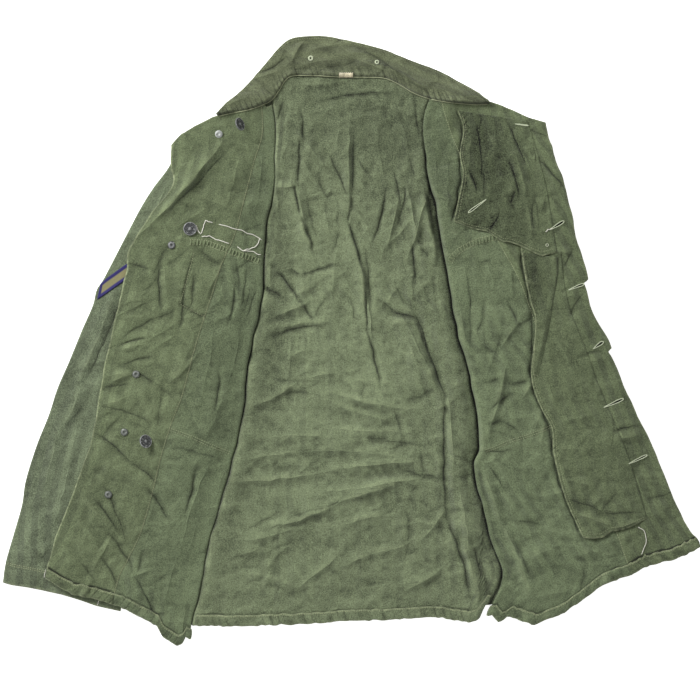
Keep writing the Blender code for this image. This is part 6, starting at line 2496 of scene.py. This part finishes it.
# The three small dark patches in the second row lie along the right front's edge: painted shadow cast by that
# edge on the sleeve.
SLEEVE_TONES = table(TONE_COLUMNS, [
    (-300, 20, 26, 80, -0.14), (-240, 190, 40, 50, -0.10), (-405, -230, 60, 90, -0.12),
    (-308, 38, 9, 14, -0.42), (-322, 14, 10, 16, -0.42), (-340, -12, 11, 17, -0.38),
    (-336, 34, 12, 26, -0.18), (-366, -60, 20, 60, -0.32), (-392, -125, 18, 45, -0.26),
    (-410, -180, 18, 40, -0.20), (-350, -120, 14, 50, 0.08), (-368, -170, 14, 40, 0.12),
    (-425, -300, 40, 30, -0.20),
])
COLLAR_TONES = table(TONE_COLUMNS, [
    (-130, 330, 40, 24, -0.06), (100, 330, 60, 22, 0.02), (-20, 350, 90, 10, -0.16), (30, 385, 60, 12, 0.08),
])
# How far a flap's lower edge hangs below the straight line between its corners, by the share of
# the way from its free side to its sewn side.
UPPER_FLAP_EDGE = ((0.0, 0.12, 0.21, 0.32, 0.38, 0.48, 0.53, 0.63, 0.71, 0.80, 0.85, 0.92, 1.0),
                   (0.0, 2.0, 2.0, 0.2, 3.0, 7.5, 5.2, 5.7, 7.7, 10.2, 10.8, 5.4, 0.0))
LOWER_FLAP_EDGE = ((0.0, 0.15, 0.31, 0.43, 0.62, 0.78, 1.0), (0.0, 4.9, 7.5, 2.8, 4.9, 3.7, 0.0))
# By y: the hills of the back beside the left roll (height, away, wide) and beside the right roll (right), and
# the strength of the painted shadow line along the right and the left roll (the last two columns).
BACK_HILLS = table("y height away wide right dark_right dark_left", [
    (-360, 3, 16, 10, 2, 1, 2), (-300, 4, 20, 12, 4, 2, 6), (-200, 4, 24, 14, 4, 4.5, 7),
    (-120, 3.5, 22, 12, 4.5, 2, 7), (-70, 4, 20, 12, 4, 4, 7), (20, 3.5, 16, 10, 4.5, 0, 7),
    (100, 3, 14, 8, 3.5, 3, 7), (180, 2.5, 13, 7, 3, 0.2, 4), (260, 1.2, 12, 7, 2.5, 0, 1.2),
    (330, 0, 12, 7, 1, 0, 0),
])


# ---------------------------------------------------------------- the studio

@dataclass
class Studio:
    """A white table, a soft key light from the upper left and the camera straight above."""

    photo_pixel: float = 1.3
    photo_side: int = 700
    centre_y: float = -0.0117
    camera_height: float = 4.0
    sensor: float = 36.0
    floor_half: float = 8.0
    floor_z: float = -0.0004
    key_power: float = 152.0
    key_place: tuple[float, float, float] = (-2.3, 1.9, 2.1)
    key_side: float = 1.5
    sky: float = 0.52

    def build(self) -> None:
        """Sets the floor, the light and the camera."""
        half, z = self.floor_half, self.floor_z
        mesh = bpy.data.meshes.new("table_top")
        mesh.from_pydata([(-half, -half, z), (half, -half, z), (half, half, z), (-half, half, z)],
                         [], [(0, 1, 2, 3)])
        mesh.materials.append(Graph("white_table").surface(
            (0.93, 0.93, 0.93, 1), Roughness=0.9, Emission_Color=(1, 1, 1, 1), Emission_Strength=0.8))
        new_object("table_top", mesh)
        world = bpy.data.worlds.new("studio")
        world.use_nodes = True
        background = world.node_tree.nodes["Background"].inputs
        background["Color"].default_value = (1, 1, 1, 1)
        background["Strength"].default_value = self.sky
        light = bpy.data.lights.new("key", "AREA")
        light.size, light.energy = self.key_side, self.key_power
        x, y, z = self.key_place
        key = new_object("key", light)
        key.location = self.key_place
        key.rotation_euler = (math.atan2(math.hypot(x, y), z), 0.0, math.atan2(-x, y) + math.pi)
        camera = bpy.data.cameras.new("camera")
        camera.sensor_width = self.sensor
        camera.lens = self.sensor * self.camera_height / (self.photo_pixel * MM * self.photo_side)
        camera.clip_end = 20.0
        scene = bpy.context.scene
        scene.world = world
        scene.camera = new_object("camera", camera)
        scene.camera.location = (0.0, self.centre_y, self.camera_height)
        scene.view_settings.view_transform = "Standard"


# ---------------------------------------------------------------- all together

def main() -> None:
    """Lays the jacket piece by piece."""
    logging.basicConfig(level=logging.INFO, format="%(name)s: %(message)s")
    Studio().build()
    layers = Layers()
    right = Front(Side.RIGHT, FRONT_RIGHT, RIGHT_EDGES, FRONT_RIGHT_RELIEF, FRONT_RIGHT_TONES,
                  pressed=0.5, pale=(Edge.FIRST_COLUMN,))
    left = Front(Side.LEFT, FRONT_LEFT, LEFT_EDGES, FRONT_LEFT_RELIEF, FRONT_LEFT_TONES,
                 nicks=((79, 8, 17), (-10, 8, 12)))
    right.plan()
    left.plan()
    back = Back(BACK_RELIEF, BACK_TONES, BACK_HILLS)
    back.lay(layers, right, left)
    back.build(layers)
    Sleeve(Side.RIGHT, SLEEVE_RIGHT, SLEEVE_RIGHT_RELIEF, SLEEVE_TONES).build(layers)
    Sleeve(Side.LEFT, SLEEVE_LEFT, SLEEVE_LEFT_RELIEF, SLEEVE_TONES, rows=90, steps=24).build(layers)
    Stripe().build(layers)
    for front in (right, left):
        front.lay(layers)
        front.build(layers)
    lower, turnback, upper = "gas_flap_lower", "gas_flap_turnback", "gas_flap_upper"
    for piece in (Flap(lower, GAS_FLAP_LOWER, 170, 40, "facing_shell_left", LOWER_FLAP_EDGE, shade=-0.05),
                  Flap(turnback, GAS_FLAP_TURNBACK, 80, 16, lower + "_shell", sewn_reach=6, shade=-0.7,
                       stitched=False),
                  Flap(upper, GAS_FLAP_UPPER, 84, 56, "front_shell_left", UPPER_FLAP_EDGE, shade=-0.43),
                  Collar(COLLAR_RELIEF, COLLAR_TONES), Label(), Buttonholes(), LooseThreads(),
                  TackButtons()):
        piece.build(layers)
    layers.puckers.make("seam_puckers", PUCKER_COTTON, "olive_cotton")
    layers.seams.make("seam_stitches", SEAM_THREAD, "olive_cotton")
    layers.white.make("white_sewing", WHITE_THREAD, "label_tape")


if __name__ == "__main__":
    main()
